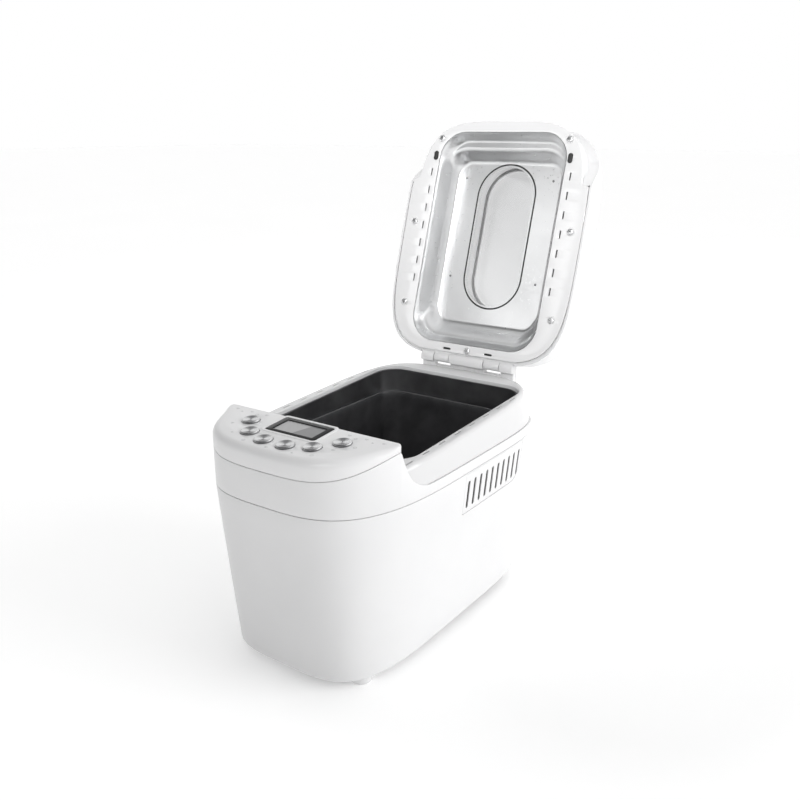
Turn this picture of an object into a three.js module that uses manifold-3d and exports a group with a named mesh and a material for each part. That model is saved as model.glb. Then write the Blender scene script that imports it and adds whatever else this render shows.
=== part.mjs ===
// Bread machine: tapered housing, control panel, oven, lift-out pan, drive train and hinged lid.
// Units are millimetres. +Z is up, -Y is the front (control panel), +X is the right-hand side.
// The lid stands open, as it does while a pan is lifted in or out.
import * as THREE from 'three';
import { mergeVertices } from 'three/addons/utils/BufferGeometryUtils.js';
import ManifoldModule from 'manifold-3d';

const wasm = await ManifoldModule();
wasm.setup();

// ---------------------------------------------------------------- driving dimensions
const GAP = 0.3;                 // clearance kept between neighbouring pieces
const WALL = 2.5;                // moulded wall thickness
const RING_POINTS = 36;          // points round a body outline

const FLOOR_Z = 8;               // underside of the housing, the height of the feet
const PARTING_Z = 182;           // seam between lower housing and upper collar
const LEDGE_Z = 192.5;           // top of the collar, where the glossy deck starts
const TOP_PLAN = { a: 110, bf: 176.5, br: 176.5, nf: 3.3, nr: 5.6 };   // plan at the parting seam
const BOTTOM_PLAN = { a: 92.5, bf: 157.8, br: 170.5, nf: 4.0, nr: 6.0 };
const DECK_FOOT_PLAN = { a: 108.6, bf: 175.2, br: 175.2, nf: 3.4, nr: 5.4 };
const DECK_TOP_PLAN = { a: 106, bf: 173, br: 173, nf: 3.6, nr: 4.5 };

const DECK_Z = 221.3;            // deck height at the middle of the machine
const DECK_SLOPE = 0.049;        // the deck rises towards the hinge
const OVEN = { x: 93.5, y0: -90, y1: 148, r: 25 };                     // deck opening
const DECK_SLOT = { x: 97.6, y0: -88.5, pitch: 27.86, count: 8, length: 11, width: 1.5 };

const PANEL_REAR_Y = -104;       // rear edge of the control panel
const PANEL_Z = 241.5;           // panel height at its rear edge
const PANEL_SLOPE = 0.085;       // the panel falls towards the front
const PANEL_ROUND = 8;           // rounding along the panel's edge
const PANEL_SKIN = 3;
const DISPLAY = { x: 30, y0: -138.5, y1: -106.5, lip: 3 };
const BUTTON_R = 8.6;
const BUTTON_TRAVEL = 1.2;
const BUTTONS = [
  ['left_rear', -54.9, -129.0], ['left_middle', -37.2, -149.0], ['left_front', -12.9, -157.0],
  ['right_front', 12.9, -157.0], ['right_middle', 37.2, -149.0], ['right_rear', 54.9, -129.0],
];

const HINGE = { y: 179, z: 238.1, pin: 2, knuckle: 6.5, half: 62 };
const LID_DROP = 6;              // lid rim below the hinge axis when closed
const LID_OPEN = 109.8 * Math.PI / 180;
const LID_TILT = Math.atan(DECK_SLOPE);
const LID_LENGTH = 282;          // hinge axis to the front of the lid
const LINER_A = 116.5;           // half width of the lid liner
const LINER_FRONT_A = 108.5;     // half width in front of the step
const LINER_STEP = 211.5;        // distance of the step from the hinge
const LID_N = 4.2;               // squareness of the lid outline
const SHELL_A = 119.6;
const SHELL_N = 4.4;
const SHELL_HEIGHT = 58;
const REFLECTOR = { a: 83.5, w0: 18, w1: 270, depth: 30, r: 32 };
const WINDOW = { a: 37.5, w: 153, half: 86 };                          // stadium window

const PAN = { a: 78, y0: -72, y1: 128, top: 205, bottom: 82, r: 24, wall: 1.5 };
const DRIVE_Y = 28;              // pan centre and drive axis
const MOTOR_Y = -125;
const PULLEY_Z = 25;
const LARGE_PULLEY_R = 50;
const MOTOR_PULLEY_R = 10;
const CORD_X = -40;               // cord outlet in the rear wall

// Moves the finished machine so that its bounding box is centred over the origin.
const CENTRE_Y = -61.5;

const COLOURS = {
  white: 0xf4f4f4, gloss: 0xfafafa, steel: 0xb9bcc0, dark: 0x232323, rubber: 0x1a1a1a,
  glass: 0xc8d4da, board: 0x2f6b46, copper: 0xb87333, grey: 0x8c8f94, nonstick: 0x2c2d30,
};

// ---------------------------------------------------------------- geometry helpers
function solid(geometry) {
  geometry.deleteAttribute('normal');
  geometry.deleteAttribute('uv');
  const g = mergeVertices(geometry, 1e-4);
  return new wasm.Manifold(new wasm.Mesh({
    numProp: 3,
    vertProperties: new Float32Array(g.attributes.position.array),
    triVerts: new Uint32Array(g.index.array),
  }));
}

function toMesh(name, body, colour) {
  const m = body.simplify(0.02).getMesh();
  const g = new THREE.BufferGeometry();
  g.setAttribute('position', new THREE.BufferAttribute(new Float32Array(m.vertProperties), 3));
  g.setIndex(new THREE.BufferAttribute(new Uint32Array(m.triVerts), 1));
  g.computeVertexNormals();
  const mesh = new THREE.Mesh(g, new THREE.MeshStandardMaterial({ color: COLOURS[colour] }));
  mesh.name = name;
  return mesh;
}

// Joins closed rings of points (counter-clockwise seen from above, bottom ring first) into a solid.
function loft(rings) {
  const n = rings[0].length;
  const pos = [];
  const idx = [];
  rings.forEach((ring) => ring.forEach((p) => pos.push(...p)));
  for (let j = 0; j + 1 < rings.length; j++) {
    for (let i = 0; i < n; i++) {
      const k = (i + 1) % n;
      const [p, q, r, s] = [j * n + i, j * n + k, (j + 1) * n + k, (j + 1) * n + i];
      idx.push(p, q, r, p, r, s);
    }
  }
  const cap = (ring, start, up) => {
    const c = [0, 1, 2].map((d) => ring.reduce((sum, p) => sum + p[d], 0) / n);
    pos.push(...c);
    const centre = pos.length / 3 - 1;
    for (let i = 0; i < n; i++) {
      const [p, q] = [start + i, start + ((i + 1) % n)];
      idx.push(centre, up ? p : q, up ? q : p);
    }
  };
  cap(rings[0], 0, false);
  cap(rings[rings.length - 1], (rings.length - 1) * n, true);
  const g = new THREE.BufferGeometry();
  g.setAttribute('position', new THREE.Float32BufferAttribute(pos, 3));
  g.setIndex(idx);
  return solid(g);
}

const power = (v, e) => Math.sign(v) * Math.pow(Math.abs(v), e);

// Plan outline with different depths and corner squareness at the front and the rear.
function planRing(p, z, inset = 0, n = RING_POINTS) {
  const ring = [];
  for (let i = 0; i < n; i++) {
    const t = (2 * Math.PI * i) / n;
    const [c, s] = [Math.cos(t), Math.sin(t)];
    const [b, e] = s < 0 ? [p.bf, p.nf] : [p.br, p.nr];
    const x = (p.a - inset) * power(c, 2 / e);
    const y = (b - inset) * power(s, 2 / e);
    ring.push([x, y, typeof z === 'function' ? z(x, y) : z]);
  }
  return ring;
}

function roundRect(x0, x1, y0, y1, r, z, seg = 4) {
  const ring = [];
  const corners = [[x1 - r, y0 + r, -90], [x1 - r, y1 - r, 0], [x0 + r, y1 - r, 90], [x0 + r, y0 + r, 180]];
  for (const [cx, cy, start] of corners) {
    for (let i = 0; i <= seg; i++) {
      const t = ((start + (90 * i) / seg) * Math.PI) / 180;
      const [x, y] = [cx + r * Math.cos(t), cy + r * Math.sin(t)];
      ring.push([x, y, typeof z === 'function' ? z(x, y) : z]);
    }
  }
  return ring;
}

const mixPlan = (p, q, f) => Object.fromEntries(Object.keys(p).map((k) => [k, p[k] + (q[k] - p[k]) * f]));
const housingPlan = (z) => mixPlan(BOTTOM_PLAN, TOP_PLAN, (z - FLOOR_Z) / (PARTING_Z - FLOOR_Z));

function box(x0, x1, y0, y1, z0, z1) {
  const g = new THREE.BoxGeometry(x1 - x0, y1 - y0, z1 - z0);
  g.translate((x0 + x1) / 2, (y0 + y1) / 2, (z0 + z1) / 2);
  return solid(g);
}

// Turned solid about a vertical axis, from [radius, z] pairs listed from the axis out and back, upward.
function turned(x, y, profile, seg = 18) {
  const g = new THREE.LatheGeometry(profile.map(([r, z]) => new THREE.Vector2(r, z)), seg);
  g.rotateX(Math.PI / 2);
  g.translate(x, y, 0);
  return solid(g);
}

const disc = (x, y, r, z0, z1, seg = 18) => turned(x, y, [[0, z0], [r, z0], [r, z1], [0, z1]], seg);

// Solid along X from a profile of [y, z] points.
function prismX(points, x0, x1) {
  const shape = new THREE.Shape(points.map(([y, z]) => new THREE.Vector2(y, z)));
  const g = new THREE.ExtrudeGeometry(shape, { depth: x1 - x0, bevelEnabled: false });
  g.applyMatrix4(new THREE.Matrix4().makeBasis(
    new THREE.Vector3(0, 1, 0), new THREE.Vector3(0, 0, 1), new THREE.Vector3(1, 0, 0)));
  g.translate(x0, 0, 0);
  return solid(g);
}

const roundRectPrism = (x0, x1, y0, y1, r, z0, z1, seg = 4) =>
  loft([roundRect(x0, x1, y0, y1, r, z0, seg), roundRect(x0, x1, y0, y1, r, z1, seg)]);

// Round rod swept along a path of points.
function rod(points, r, seg = 10, closed = false) {
  const v = points.map((p) => new THREE.Vector3(...p));
  const n = v.length;
  const rings = v.map((p, i) => {
    const before = closed ? v[(i + n - 1) % n] : v[Math.max(i - 1, 0)];
    const after = closed ? v[(i + 1) % n] : v[Math.min(i + 1, n - 1)];
    const dir = after.clone().sub(before).normalize();
    const ref = Math.abs(dir.z) > 0.9 ? new THREE.Vector3(0, 1, 0) : new THREE.Vector3(0, 0, 1);
    const u = new THREE.Vector3().crossVectors(dir, ref).normalize();
    const w = new THREE.Vector3().crossVectors(u, dir).normalize();
    return Array.from({ length: seg }, (_, k) => {
      const t = (-2 * Math.PI * k) / seg;
      const q = p.clone().addScaledVector(u, r * Math.cos(t)).addScaledVector(w, r * Math.sin(t));
      return [q.x, q.y, q.z];
    });
  });
  return loft(rings);
}

const cut = (body, ...tools) => tools.reduce((b, t) => b.subtract(t), body);
const join = (body, ...more) => more.reduce((b, t) => b.add(t), body);

// ---------------------------------------------------------------- height functions
const deckZ = (drop) => (x, y) => DECK_Z + DECK_SLOPE * y - drop;
const panelZ = (drop) => (x, y) => PANEL_Z + PANEL_SLOPE * (y - PANEL_REAR_Y) - drop;
const PANEL_ANGLE = Math.atan(PANEL_SLOPE);

// ---------------------------------------------------------------- lower housing and its fittings
const VENT = { y0: -6, y1: 116, z0: 137, z1: 180.5, r: 6, rRear: 20 };
const VENT_SLOTS = { y0: 1.5, pitch: 11.9, count: 10, width: 4.2, z0: 142, z1: 172 };

function ventOutline(grow) {
  const { y0, y1, z0, z1, r, rRear } = VENT;
  const s = new THREE.Shape();
  const [a, b, c, d] = [y0 - grow, y1 + grow, z0 - grow, z1 + grow];
  s.moveTo(a + r, c);
  s.lineTo(b - rRear, c);
  s.quadraticCurveTo(b, c, b, c + rRear);
  s.lineTo(b, d);
  s.lineTo(a, d);
  s.lineTo(a, c + r);
  s.quadraticCurveTo(a, c, a + r, c);
  return s.getPoints(4).slice(0, -1).map((p) => [p.x, p.y]);
}

function housingSolid(inset, zBottom, zTop) {
  const bottomRound = [[3.2, 0], [0.9, 1.2], [0, 3.5]];
  const rings = bottomRound.map(([d, h]) => planRing(housingPlan(FLOOR_Z + h), zBottom + h, inset + d));
  for (const z of [70, 130, zTop]) rings.push(planRing(housingPlan(z), z, inset));
  return loft(rings);
}

function makeLowerHousing() {
  let shell = housingSolid(0, FLOOR_Z, PARTING_Z - GAP / 2);
  shell = shell.subtract(housingSolid(WALL, FLOOR_Z + WALL, PARTING_Z + 5));
  // The floor is a separate plate, so the shell is open at the bottom inside a narrow lip.
  const opening = planRing(housingPlan(FLOOR_Z), FLOOR_Z - 5, 12);
  shell = shell.subtract(loft([opening, opening.map(([x, y]) => [x, y, FLOOR_Z + 8])]));
  for (const [x0, x1] of [[60, 130], [-130, -60]]) {
    shell = shell.subtract(prismX(ventOutline(GAP), x0, x1));
  }
  for (const [, x, y] of FEET) shell = shell.subtract(disc(x, y, 11.5, 0, 14, 20));
  // Outlet for the power cord.
  const hole = new THREE.CylinderGeometry(6.4, 6.4, 30, 20);
  hole.translate(CORD_X, 170, 34);
  return shell.subtract(solid(hole));
}

function makeVentGrille(side) {
  const outer = housingSolid(0, FLOOR_Z, PARTING_Z - GAP / 2);
  const inner = housingSolid(WALL, FLOOR_Z + WALL, PARTING_Z + 5);
  const flangeOut = housingSolid(WALL + 0.4, FLOOR_Z + 3, PARTING_Z - GAP / 2);
  const flangeIn = housingSolid(WALL + 1.8, FLOOR_Z + 5, PARTING_Z + 5);
  const [x0, x1] = side > 0 ? [60, 130] : [-130, -60];
  let plate = outer.subtract(inner).intersect(prismX(ventOutline(0), x0, x1));
  const core = outer.subtract(flangeIn).intersect(prismX(ventOutline(0), x0, x1));
  const flange = flangeOut.subtract(flangeIn).intersect(
    prismX(ventOutline(3), x0, x1)).intersect(box(-130, 130, -200, 200, 0, 180.8));
  plate = join(core, flange);
  for (let i = 0; i < VENT_SLOTS.count; i++) {
    const y = VENT_SLOTS.y0 + i * VENT_SLOTS.pitch;
    const { width, z0, z1 } = VENT_SLOTS;
    const slot = [[y - width / 2, z0 + 1], [y, z0], [y + width / 2, z0 + 1],
      [y + width / 2, z1 - 1], [y, z1], [y - width / 2, z1 - 1]];
    plate = plate.subtract(prismX(slot, x0, x1));
  }
  return plate;
}

const FEET = [['front_left', -66, -122], ['front_right', 66, -122],
  ['rear_left', -66, 138], ['rear_right', 66, 138]];

function makeBasePlate() {
  const z0 = FLOOR_Z + WALL + GAP;
  const rings = [z0, z0 + 2.5].map((z) => planRing(housingPlan(FLOOR_Z + 4), z, 6.6));
  let plate = loft(rings);
  for (const [, x, y] of FEET) plate = plate.subtract(disc(x, y, 4.4, 0, 30, 16));
  for (let i = -3; i <= 3; i++) {
    plate = plate.subtract(roundRectPrism(-30, 30, 92 + i * 7, 95 + i * 7, 1.4, 0, 30, 2));
  }
  // Bearing boss under the large pulley.
  const boss = turned(0, DRIVE_Y, [[5.2, z0 + 1], [9, z0 + 1], [9, PULLEY_Z - 6.6], [5.2, PULLEY_Z - 6.6],
    [5.2, z0 + 1]], 16);
  return join(plate, boss);
}

function makeFoot(x, y) {
  const z = FLOOR_Z + WALL;
  return turned(x, y, [[0, 0], [9.5, 0], [11, 1.2], [11, z], [4, z], [4, z + 3.4], [6.2, z + 3.4],
    [5, z + 6], [0, z + 6]], 14);
}

// ---------------------------------------------------------------- collar, deck and panel
// Slanted rear edge of the panel block, seen from the side, curving into the ledge.
function stepLine(shift) {
  const top = [-111, PANEL_Z + 14];
  const curve = new THREE.CubicBezierCurve(
    new THREE.Vector2(-107.5, 234), new THREE.Vector2(-99, 208),
    new THREE.Vector2(-94, 197), new THREE.Vector2(-70, LEDGE_Z));
  const pts = curve.getPoints(8).map((p) => [p.x + shift, p.y]);
  return [[top[0] + shift, top[1]], [-109.6 + shift, PANEL_Z], ...pts];
}

// Seam between the collar and the panel cap, seen from the side.
function capSeam(shift) {
  const curve = new THREE.CubicBezierCurve(
    new THREE.Vector2(-180, 215.5), new THREE.Vector2(-160, 216.5),
    new THREE.Vector2(-140, 229), new THREE.Vector2(-100, 236));
  return curve.getPoints(8).map((p) => [p.x, p.y + shift]);
}

function frontBlock(inset, drop) {
  const rings = [planRing(TOP_PLAN, PARTING_Z + GAP / 2, inset)];
  const r = PANEL_ROUND;
  for (let k = 0; k <= 3; k++) {
    const t = (k / 3) * (Math.PI / 2);
    rings.push(planRing(TOP_PLAN, panelZ(drop + r * (1 - Math.sin(t)) * 1.1),
      inset + r * (1 - Math.cos(t))));
  }
  return loft(rings);
}

function makeCollar() {
  const z0 = PARTING_Z + GAP / 2;
  let wall = frontBlock(0, 0).subtract(frontBlock(WALL, PANEL_SKIN));
  // Keep the low band all round, and the high wall in front of the slanted edge.
  const keep = [[-200, z0 - 4], [200, z0 - 4], [200, LEDGE_Z],
    ...stepLine(0).reverse(), [-200, PANEL_Z + 14]];
  wall = wall.intersect(prismX(keep, -130, 130));
  const above = [...capSeam(-GAP / 2), [-60, 300], [-220, 300]];
  wall = wall.subtract(prismX(above, -130, 130));
  // Spigot that locates the collar inside the lower housing.
  const band = (inset, low, high) => loft([low, high].map((z) => planRing(housingPlan(z), z, inset)));
  const spigot = band(WALL + 0.6, PARTING_Z - 7, z0 + 2).subtract(band(WALL + 2.4, PARTING_Z - 12, z0 + 8));
  const reliefs = [[60, 130], [-130, -60]].map(([x0, x1]) => box(x0, x1, -12, 122, 170, z0));
  const shelf = band(1, z0, z0 + 2).subtract(band(WALL + 2.2, z0 - 5, z0 + 8));
  return join(wall, shelf, cut(spigot, ...reliefs));
}

function deckSolid(inset, drop) {
  const foot = LEDGE_Z + GAP;
  return loft([
    planRing(DECK_FOOT_PLAN, foot - (inset ? 5 : 0), inset),
    planRing(mixPlan(DECK_FOOT_PLAN, DECK_TOP_PLAN, 0.8), deckZ(4 + drop), inset),
    planRing(DECK_TOP_PLAN, deckZ(1.2 + drop), inset + 1),
    planRing(DECK_TOP_PLAN, deckZ(drop), inset + 3.4),
  ]);
}

function makeDeck() {
  let deck = deckSolid(0, 0).subtract(deckSolid(WALL, WALL));
  // The sides stop at the slanted edge; the middle runs on under the rear wall of the panel.
  const behindStep = [...stepLine(GAP + 0.6), [220, LEDGE_Z - 3], [220, 270]];
  deck = deck.intersect(join(prismX(behindStep, -130, 130), box(-98.5, 98.5, -112, 0, 205, 270)));
  const { x, y0, y1, r } = OVEN;
  const flange = loft([roundRect(-x - 1.7, x + 1.7, y0 - 1.7, y1 + 1.7, r + 1.7, deckZ(12)),
    roundRect(-x - 1.7, x + 1.7, y0 - 1.7, y1 + 1.7, r + 1.7, deckZ(1))]);
  deck = join(deck, flange).subtract(roundRectPrism(-x, x, y0, y1, r, 150, 270));
  for (const side of [-1, 1]) {
    for (let i = 0; i < DECK_SLOT.count; i++) {
      const cy = DECK_SLOT.y0 + i * DECK_SLOT.pitch;
      const [cx, hw, hl] = [side * DECK_SLOT.x, DECK_SLOT.width / 2, DECK_SLOT.length / 2];
      deck = deck.subtract(box(cx - hw, cx + hw, cy - hl, cy + hl, 205, 240));
    }
  }
  return deck;
}

// Tool placed on the sloping panel: local z = 0 is the panel surface.
function onPanel(x, y, body) {
  const m = new THREE.Matrix4().makeRotationX(PANEL_ANGLE);
  m.setPosition(x, y, panelZ(0)(x, y));
  return body.transform([...m.elements]);
}

const displayPrism = (grow, z0, z1) => {
  const h = (DISPLAY.y1 - DISPLAY.y0) / 2;
  return roundRectPrism(-DISPLAY.x - grow, DISPLAY.x + grow, -h - grow, h + grow, Math.max(1, 4 + grow),
    z0, z1, 4);
};
const DISPLAY_Y = (DISPLAY.y0 + DISPLAY.y1) / 2;

function makeControlPanel() {
  const rear = [[-220, 150], [PANEL_REAR_Y, 150], [PANEL_REAR_Y, 300], [-220, 300]];
  let cap = frontBlock(0, 0).subtract(frontBlock(WALL, PANEL_SKIN));
  const above = [...capSeam(GAP / 2), [-60, 300], [-220, 300]];
  cap = cap.intersect(prismX(above, -130, 130));
  // Behind the slanted edge only the rear wall of the panel remains, standing on the deck.
  const backWall = frontBlock(3.5, 0.5).intersect(prismX([[-107.2, 205], [PANEL_REAR_Y, 216.6],
    [PANEL_REAR_Y, 300], [-107.2, 300]], -130, 130));
  const aboveDeck = loft([roundRect(-120, 120, -115, -95, 2, deckZ(-GAP - 0.2)),
    roundRect(-120, 120, -115, -95, 2, 300)]);
  const inFront = prismX([[-220, 150], ...stepLine(0).reverse().map(([y, z]) => [y, z]), [-220, 270]],
    -130, 130);
  cap = cap.intersect(prismX(rear, -130, 130));
  const sides = cap.intersect(inFront);
  const middle = cap.intersect(box(-100.5, 100.5, -200, 0, 205, 300)).subtract(
    prismX([[-112, 100], [-60, 100], [-60, 238.2], [-112, 237.6]], -130, 130));
  cap = join(sides, middle, backWall.intersect(aboveDeck).intersect(box(-100.5, 100.5, -200, 0, 200, 300)));
  cap = join(cap, onPanel(0, DISPLAY_Y, displayPrism(2.6, -2.5, 0.5)));
  cap = cap.subtract(onPanel(0, DISPLAY_Y, displayPrism(0, -8, 6)));
  for (const [, x, y] of BUTTONS) cap = cap.subtract(onPanel(x, y, disc(0, 0, BUTTON_R + 0.5, -9, 6, 20)));
  return cap;
}

function makeButton(x, y) {
  const r = BUTTON_R;
  const flangeTop = -PANEL_SKIN - 0.9;
  return onPanel(x, y, turned(0, 0, [[0, flangeTop - 4], [3, flangeTop - 4], [3, flangeTop - 1.5],
    [r + 1.4, flangeTop - 1.5], [r + 1.4, flangeTop], [r, flangeTop], [r, 1.3], [r - 0.8, 2.1],
    [0, 2.1]], 20));
}

// ---------------------------------------------------------------- display and control board
function makeDisplayFrame() {
  const body = displayPrism(-GAP, -2.6, 0.2);
  return onPanel(0, DISPLAY_Y, body.subtract(displayPrism(-4.2, -6, 6)));
}
const makeDisplayWindow = () => onPanel(0, DISPLAY_Y, displayPrism(-4.5, -2.4, -0.9));
const makeDisplayModule = () => onPanel(0, DISPLAY_Y, box(-24, 24, -13.2, 11, -9.2, -3.0));

function makeControlBoard() {
  const top = -12.4;
  let board = onPanel(0, -134, box(-68, 68, -27, 23, top - 1.6, top));
  board = join(board, onPanel(0, -133, box(-20, 20, 1, 21, top - 1, top + 1.6)));
  for (const [, x, y] of BUTTONS) {
    const switchTop = -PANEL_SKIN - 4.9 - BUTTON_TRAVEL - 0.2;
    board = join(board, onPanel(x, y, disc(0, 0, 3.2, top - 1, switchTop, 12)));
  }
  return board.subtract(box(-9, 9, -170, -158, 200, 260));
}

// ---------------------------------------------------------------- oven, element, sensor
function makeOvenChamber() {
  const [x, y0, y1, r] = [OVEN.x - 0.7, OVEN.y0 + 0.7, OVEN.y1 - 0.7, OVEN.r - 0.7];
  const can = (inset, bottom, drop) => loft([
    roundRect(-x + 13 + inset, x - 13 - inset, y0 + 13 + inset, y1 - 13 - inset, r - 8, bottom),
    roundRect(-x + 4 + inset, x - 4 - inset, y0 + 4 + inset, y1 - 4 - inset, r - 3, bottom + 9),
    roundRect(-x + inset, x - inset, y0 + inset, y1 - inset, r - inset, deckZ(14 - drop)),
    roundRect(-x + inset, x - inset, y0 + inset, y1 - inset, r - inset, deckZ(4 - drop)),
  ]);
  let chamber = can(0, 52, 0).subtract(can(1.4, 53.4, 5));
  chamber = chamber.subtract(disc(0, DRIVE_Y, 12.8, 40, 60));
  // Holes for the two ends of the heating element and for the temperature sensor.
  for (const hx of [-14, 14]) {
    const hole = new THREE.CylinderGeometry(4, 4, 30, 14);
    hole.translate(hx, OVEN.y0, ELEMENT.z);
    chamber = chamber.subtract(solid(hole));
  }
  const probe = new THREE.CylinderGeometry(3.4, 3.4, 30, 14);
  probe.rotateZ(Math.PI / 2);
  probe.translate(OVEN.x, 60, 120);
  return chamber.subtract(solid(probe));
}

const ELEMENT = { z: 76, r: 3.1, x: 80, y0: -74, y1: 128, corner: 24 };

function makeHeatingElement() {
  const { z, r, x, y0, y1, corner } = ELEMENT;
  const loop = roundRect(-x, x, y0, y1, corner, z, 5);
  // The loop opens at the front, where both ends turn out through the chamber wall.
  const open = loop.filter(([px, py]) => py > y0 + 0.1 || Math.abs(px) > 20);
  const start = open.findIndex(([px, py]) => px > 20 && py < y0 + 0.1);
  const ordered = [...open.slice(start), ...open.slice(0, start)];
  const path = [[14, y0 - 22, z], [14, y0 - 7, z], [17, y0 - 1.6, z], [23, y0, z], ...ordered,
    [-23, y0, z], [-17, y0 - 1.6, z], [-14, y0 - 7, z], [-14, y0 - 22, z]];
  return rod(path, r, 8);
}

function makeTemperatureSensor() {
  // Probe tip inside the chamber, flange outside its wall.
  const g = turned(0, 0, [[0, 0], [2.6, 0], [3, 1], [3, 12], [6.5, 12], [6.5, 13.6], [2.2, 13.6],
    [2.2, 17.5],
    [0, 17.5]], 14);
  const m = new THREE.Matrix4().makeRotationY(Math.PI / 2);
  m.setPosition(OVEN.x - 12.4, 60, 120);
  return g.transform([...m.elements]);
}

// ---------------------------------------------------------------- drive train
function makePanSeat() {
  // Ring on the chamber floor with two bayonet clips that hold the pan.
  let seat = turned(0, DRIVE_Y, [[27, 54], [40, 54], [40, 56], [31, 60], [31, 66], [27, 66], [27, 54]], 24);
  for (const side of [-1, 1]) {
    seat = join(seat, box(side * 33 - 3, side * 33 + 3, DRIVE_Y - 9, DRIVE_Y + 9, 55, 71));
  }
  return seat.subtract(disc(0, DRIVE_Y, 28, 50, 80, 24));
}

function makeDriveBearing() {
  return turned(0, DRIVE_Y, [[4.4, 36], [20, 36], [20, 39], [12, 42], [12, 60], [4.4, 60], [4.4, 36]], 20);
}

function makeDriveShaft() {
  const stem = turned(0, DRIVE_Y, [[0, 15.2], [4, 15.2], [4, 61], [14, 61], [14, 63], [0, 63]], 20);
  const cup = turned(0, DRIVE_Y, [[11.8, 62], [14, 62], [14, 73], [11.8, 73], [11.8, 62]], 20);
  const dogs = [-1, 1].map((s) => box(s * 9.8 - 3, s * 9.8 + 3, DRIVE_Y - 2, DRIVE_Y + 2, 62, 71)
    .intersect(disc(0, DRIVE_Y, 13, 60, 80, 20)));
  return join(stem, cup, ...dogs);
}

function grooved(y, rOut, rHub, half, bore, seg) {
  const g = rOut - 1.2;
  const z = PULLEY_Z;
  return turned(0, y, [[bore, z - half], [rOut, z - half], [rOut, z - 3.6], [g, z - 3], [g, z + 3],
    [rOut, z + 3.6], [rOut, z + half], [rHub, z + half], [rHub, z + half + 3], [bore, z + half + 3],
    [bore, z - half]], seg);
}

function makeLargePulley() {
  let wheel = grooved(DRIVE_Y, LARGE_PULLEY_R, 9, 5, 4.3, 26);
  for (let i = 0; i < 4; i++) {
    const t = (i / 4) * 2 * Math.PI + 0.3;
    wheel = wheel.subtract(disc(30 * Math.cos(t), DRIVE_Y + 30 * Math.sin(t), 12, 0, 60, 12));
  }
  return wheel;
}

function makeMotorPulley() {
  const rim = turned(0, MOTOR_Y, [[0, PULLEY_Z - 5], [MOTOR_PULLEY_R, PULLEY_Z - 5],
    [MOTOR_PULLEY_R, PULLEY_Z - 3.6],
    [MOTOR_PULLEY_R - 1.2, PULLEY_Z - 3], [MOTOR_PULLEY_R - 1.2, PULLEY_Z + 3],
    [MOTOR_PULLEY_R, PULLEY_Z + 3.6], [MOTOR_PULLEY_R, PULLEY_Z + 5], [3, PULLEY_Z + 5], [3, 46],
    [0, 46]], 18);
  return rim;
}

// Flat belt loop round both pulleys, with a running clearance.
function beltRing(offset, z) {
  const [r1, r2] = [LARGE_PULLEY_R - 1.2 + offset, MOTOR_PULLEY_R - 1.2 + offset];
  const lean = Math.asin((r1 - r2) / (DRIVE_Y - MOTOR_Y));
  const ring = [];
  const arc = (cy, r, from, to, n) => {
    for (let i = 0; i <= n; i++) {
      const t = from + ((to - from) * i) / n;
      ring.push([r * Math.cos(t), cy + r * Math.sin(t), z]);
    }
  };
  arc(DRIVE_Y, r1, -lean, Math.PI + lean, 24);
  arc(MOTOR_Y, r2, Math.PI + lean, 2 * Math.PI - lean, 10);
  return ring;
}

function makeDriveBelt() {
  const loop = (o, z0, z1) => loft([beltRing(o, z0), beltRing(o, z1)]);
  return loop(2.3, PULLEY_Z - 2.6, PULLEY_Z + 2.6).subtract(loop(0.45, PULLEY_Z - 5, PULLEY_Z + 5));
}

function makeMotor() {
  const can = turned(0, MOTOR_Y, [[4, 44], [26, 44], [27, 45.5], [27, 96], [24, 99], [8, 99], [8, 103],
    [0, 103],
    [0, 52], [4, 52], [4, 44]], 22);
  const ears = box(-33, 33, MOTOR_Y - 6, MOTOR_Y + 6, 44.2, 47);
  return join(can, ears.subtract(disc(0, MOTOR_Y, 20, 40, 60, 20)));
}

function makeMotorBracket() {
  let plate = roundRectPrism(-42, 42, MOTOR_Y - 13, MOTOR_Y + 24, 5, 40.5, 43.6, 3);
  plate = plate.subtract(disc(0, MOTOR_Y, 14, 30, 50, 20));
  for (const sx of [-1, 1]) {
    for (const dy of [-7, 18]) {
      plate = join(plate, disc(sx * 35, MOTOR_Y + dy, 4, FLOOR_Z + WALL + GAP + 2.5 + GAP, 41, 12));
    }
  }
  return plate;
}

function makePowerBoard() {
  const z = 126;
  let board = box(-52, 52, -160, -108, z, z + 1.6);
  board = join(board, box(-46, -26, -150, -132, z + 1, z + 20), box(-16, 4, -152, -130, z + 1, z + 14),
    disc(20, -144, 7, z + 1, z + 24, 16), disc(38, -138, 5, z + 1, z + 16, 14),
    box(14, 46, -124, -114, z + 1, z + 10));
  return board;
}

function makeCordGland() {
  // Bushing where the power cord leaves the rear of the housing.
  const g = turned(0, 0, [[3.3, 0], [8.5, 0], [8.5, 2.2], [6, 2.2], [6, 8.4], [7.4, 8.4], [6, 13],
    [3.3, 13], [3.3, 0]], 16);
  const m = new THREE.Matrix4().makeRotationX(Math.PI / 2);
  m.setPosition(CORD_X, housingRearY() + 3.3, 34);
  return g.transform([...m.elements]);
}

function housingRearY() {
  const p = housingPlan(34);
  return p.br * Math.pow(1 - Math.pow(-CORD_X / p.a, p.nr), 1 / p.nr);
}

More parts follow.
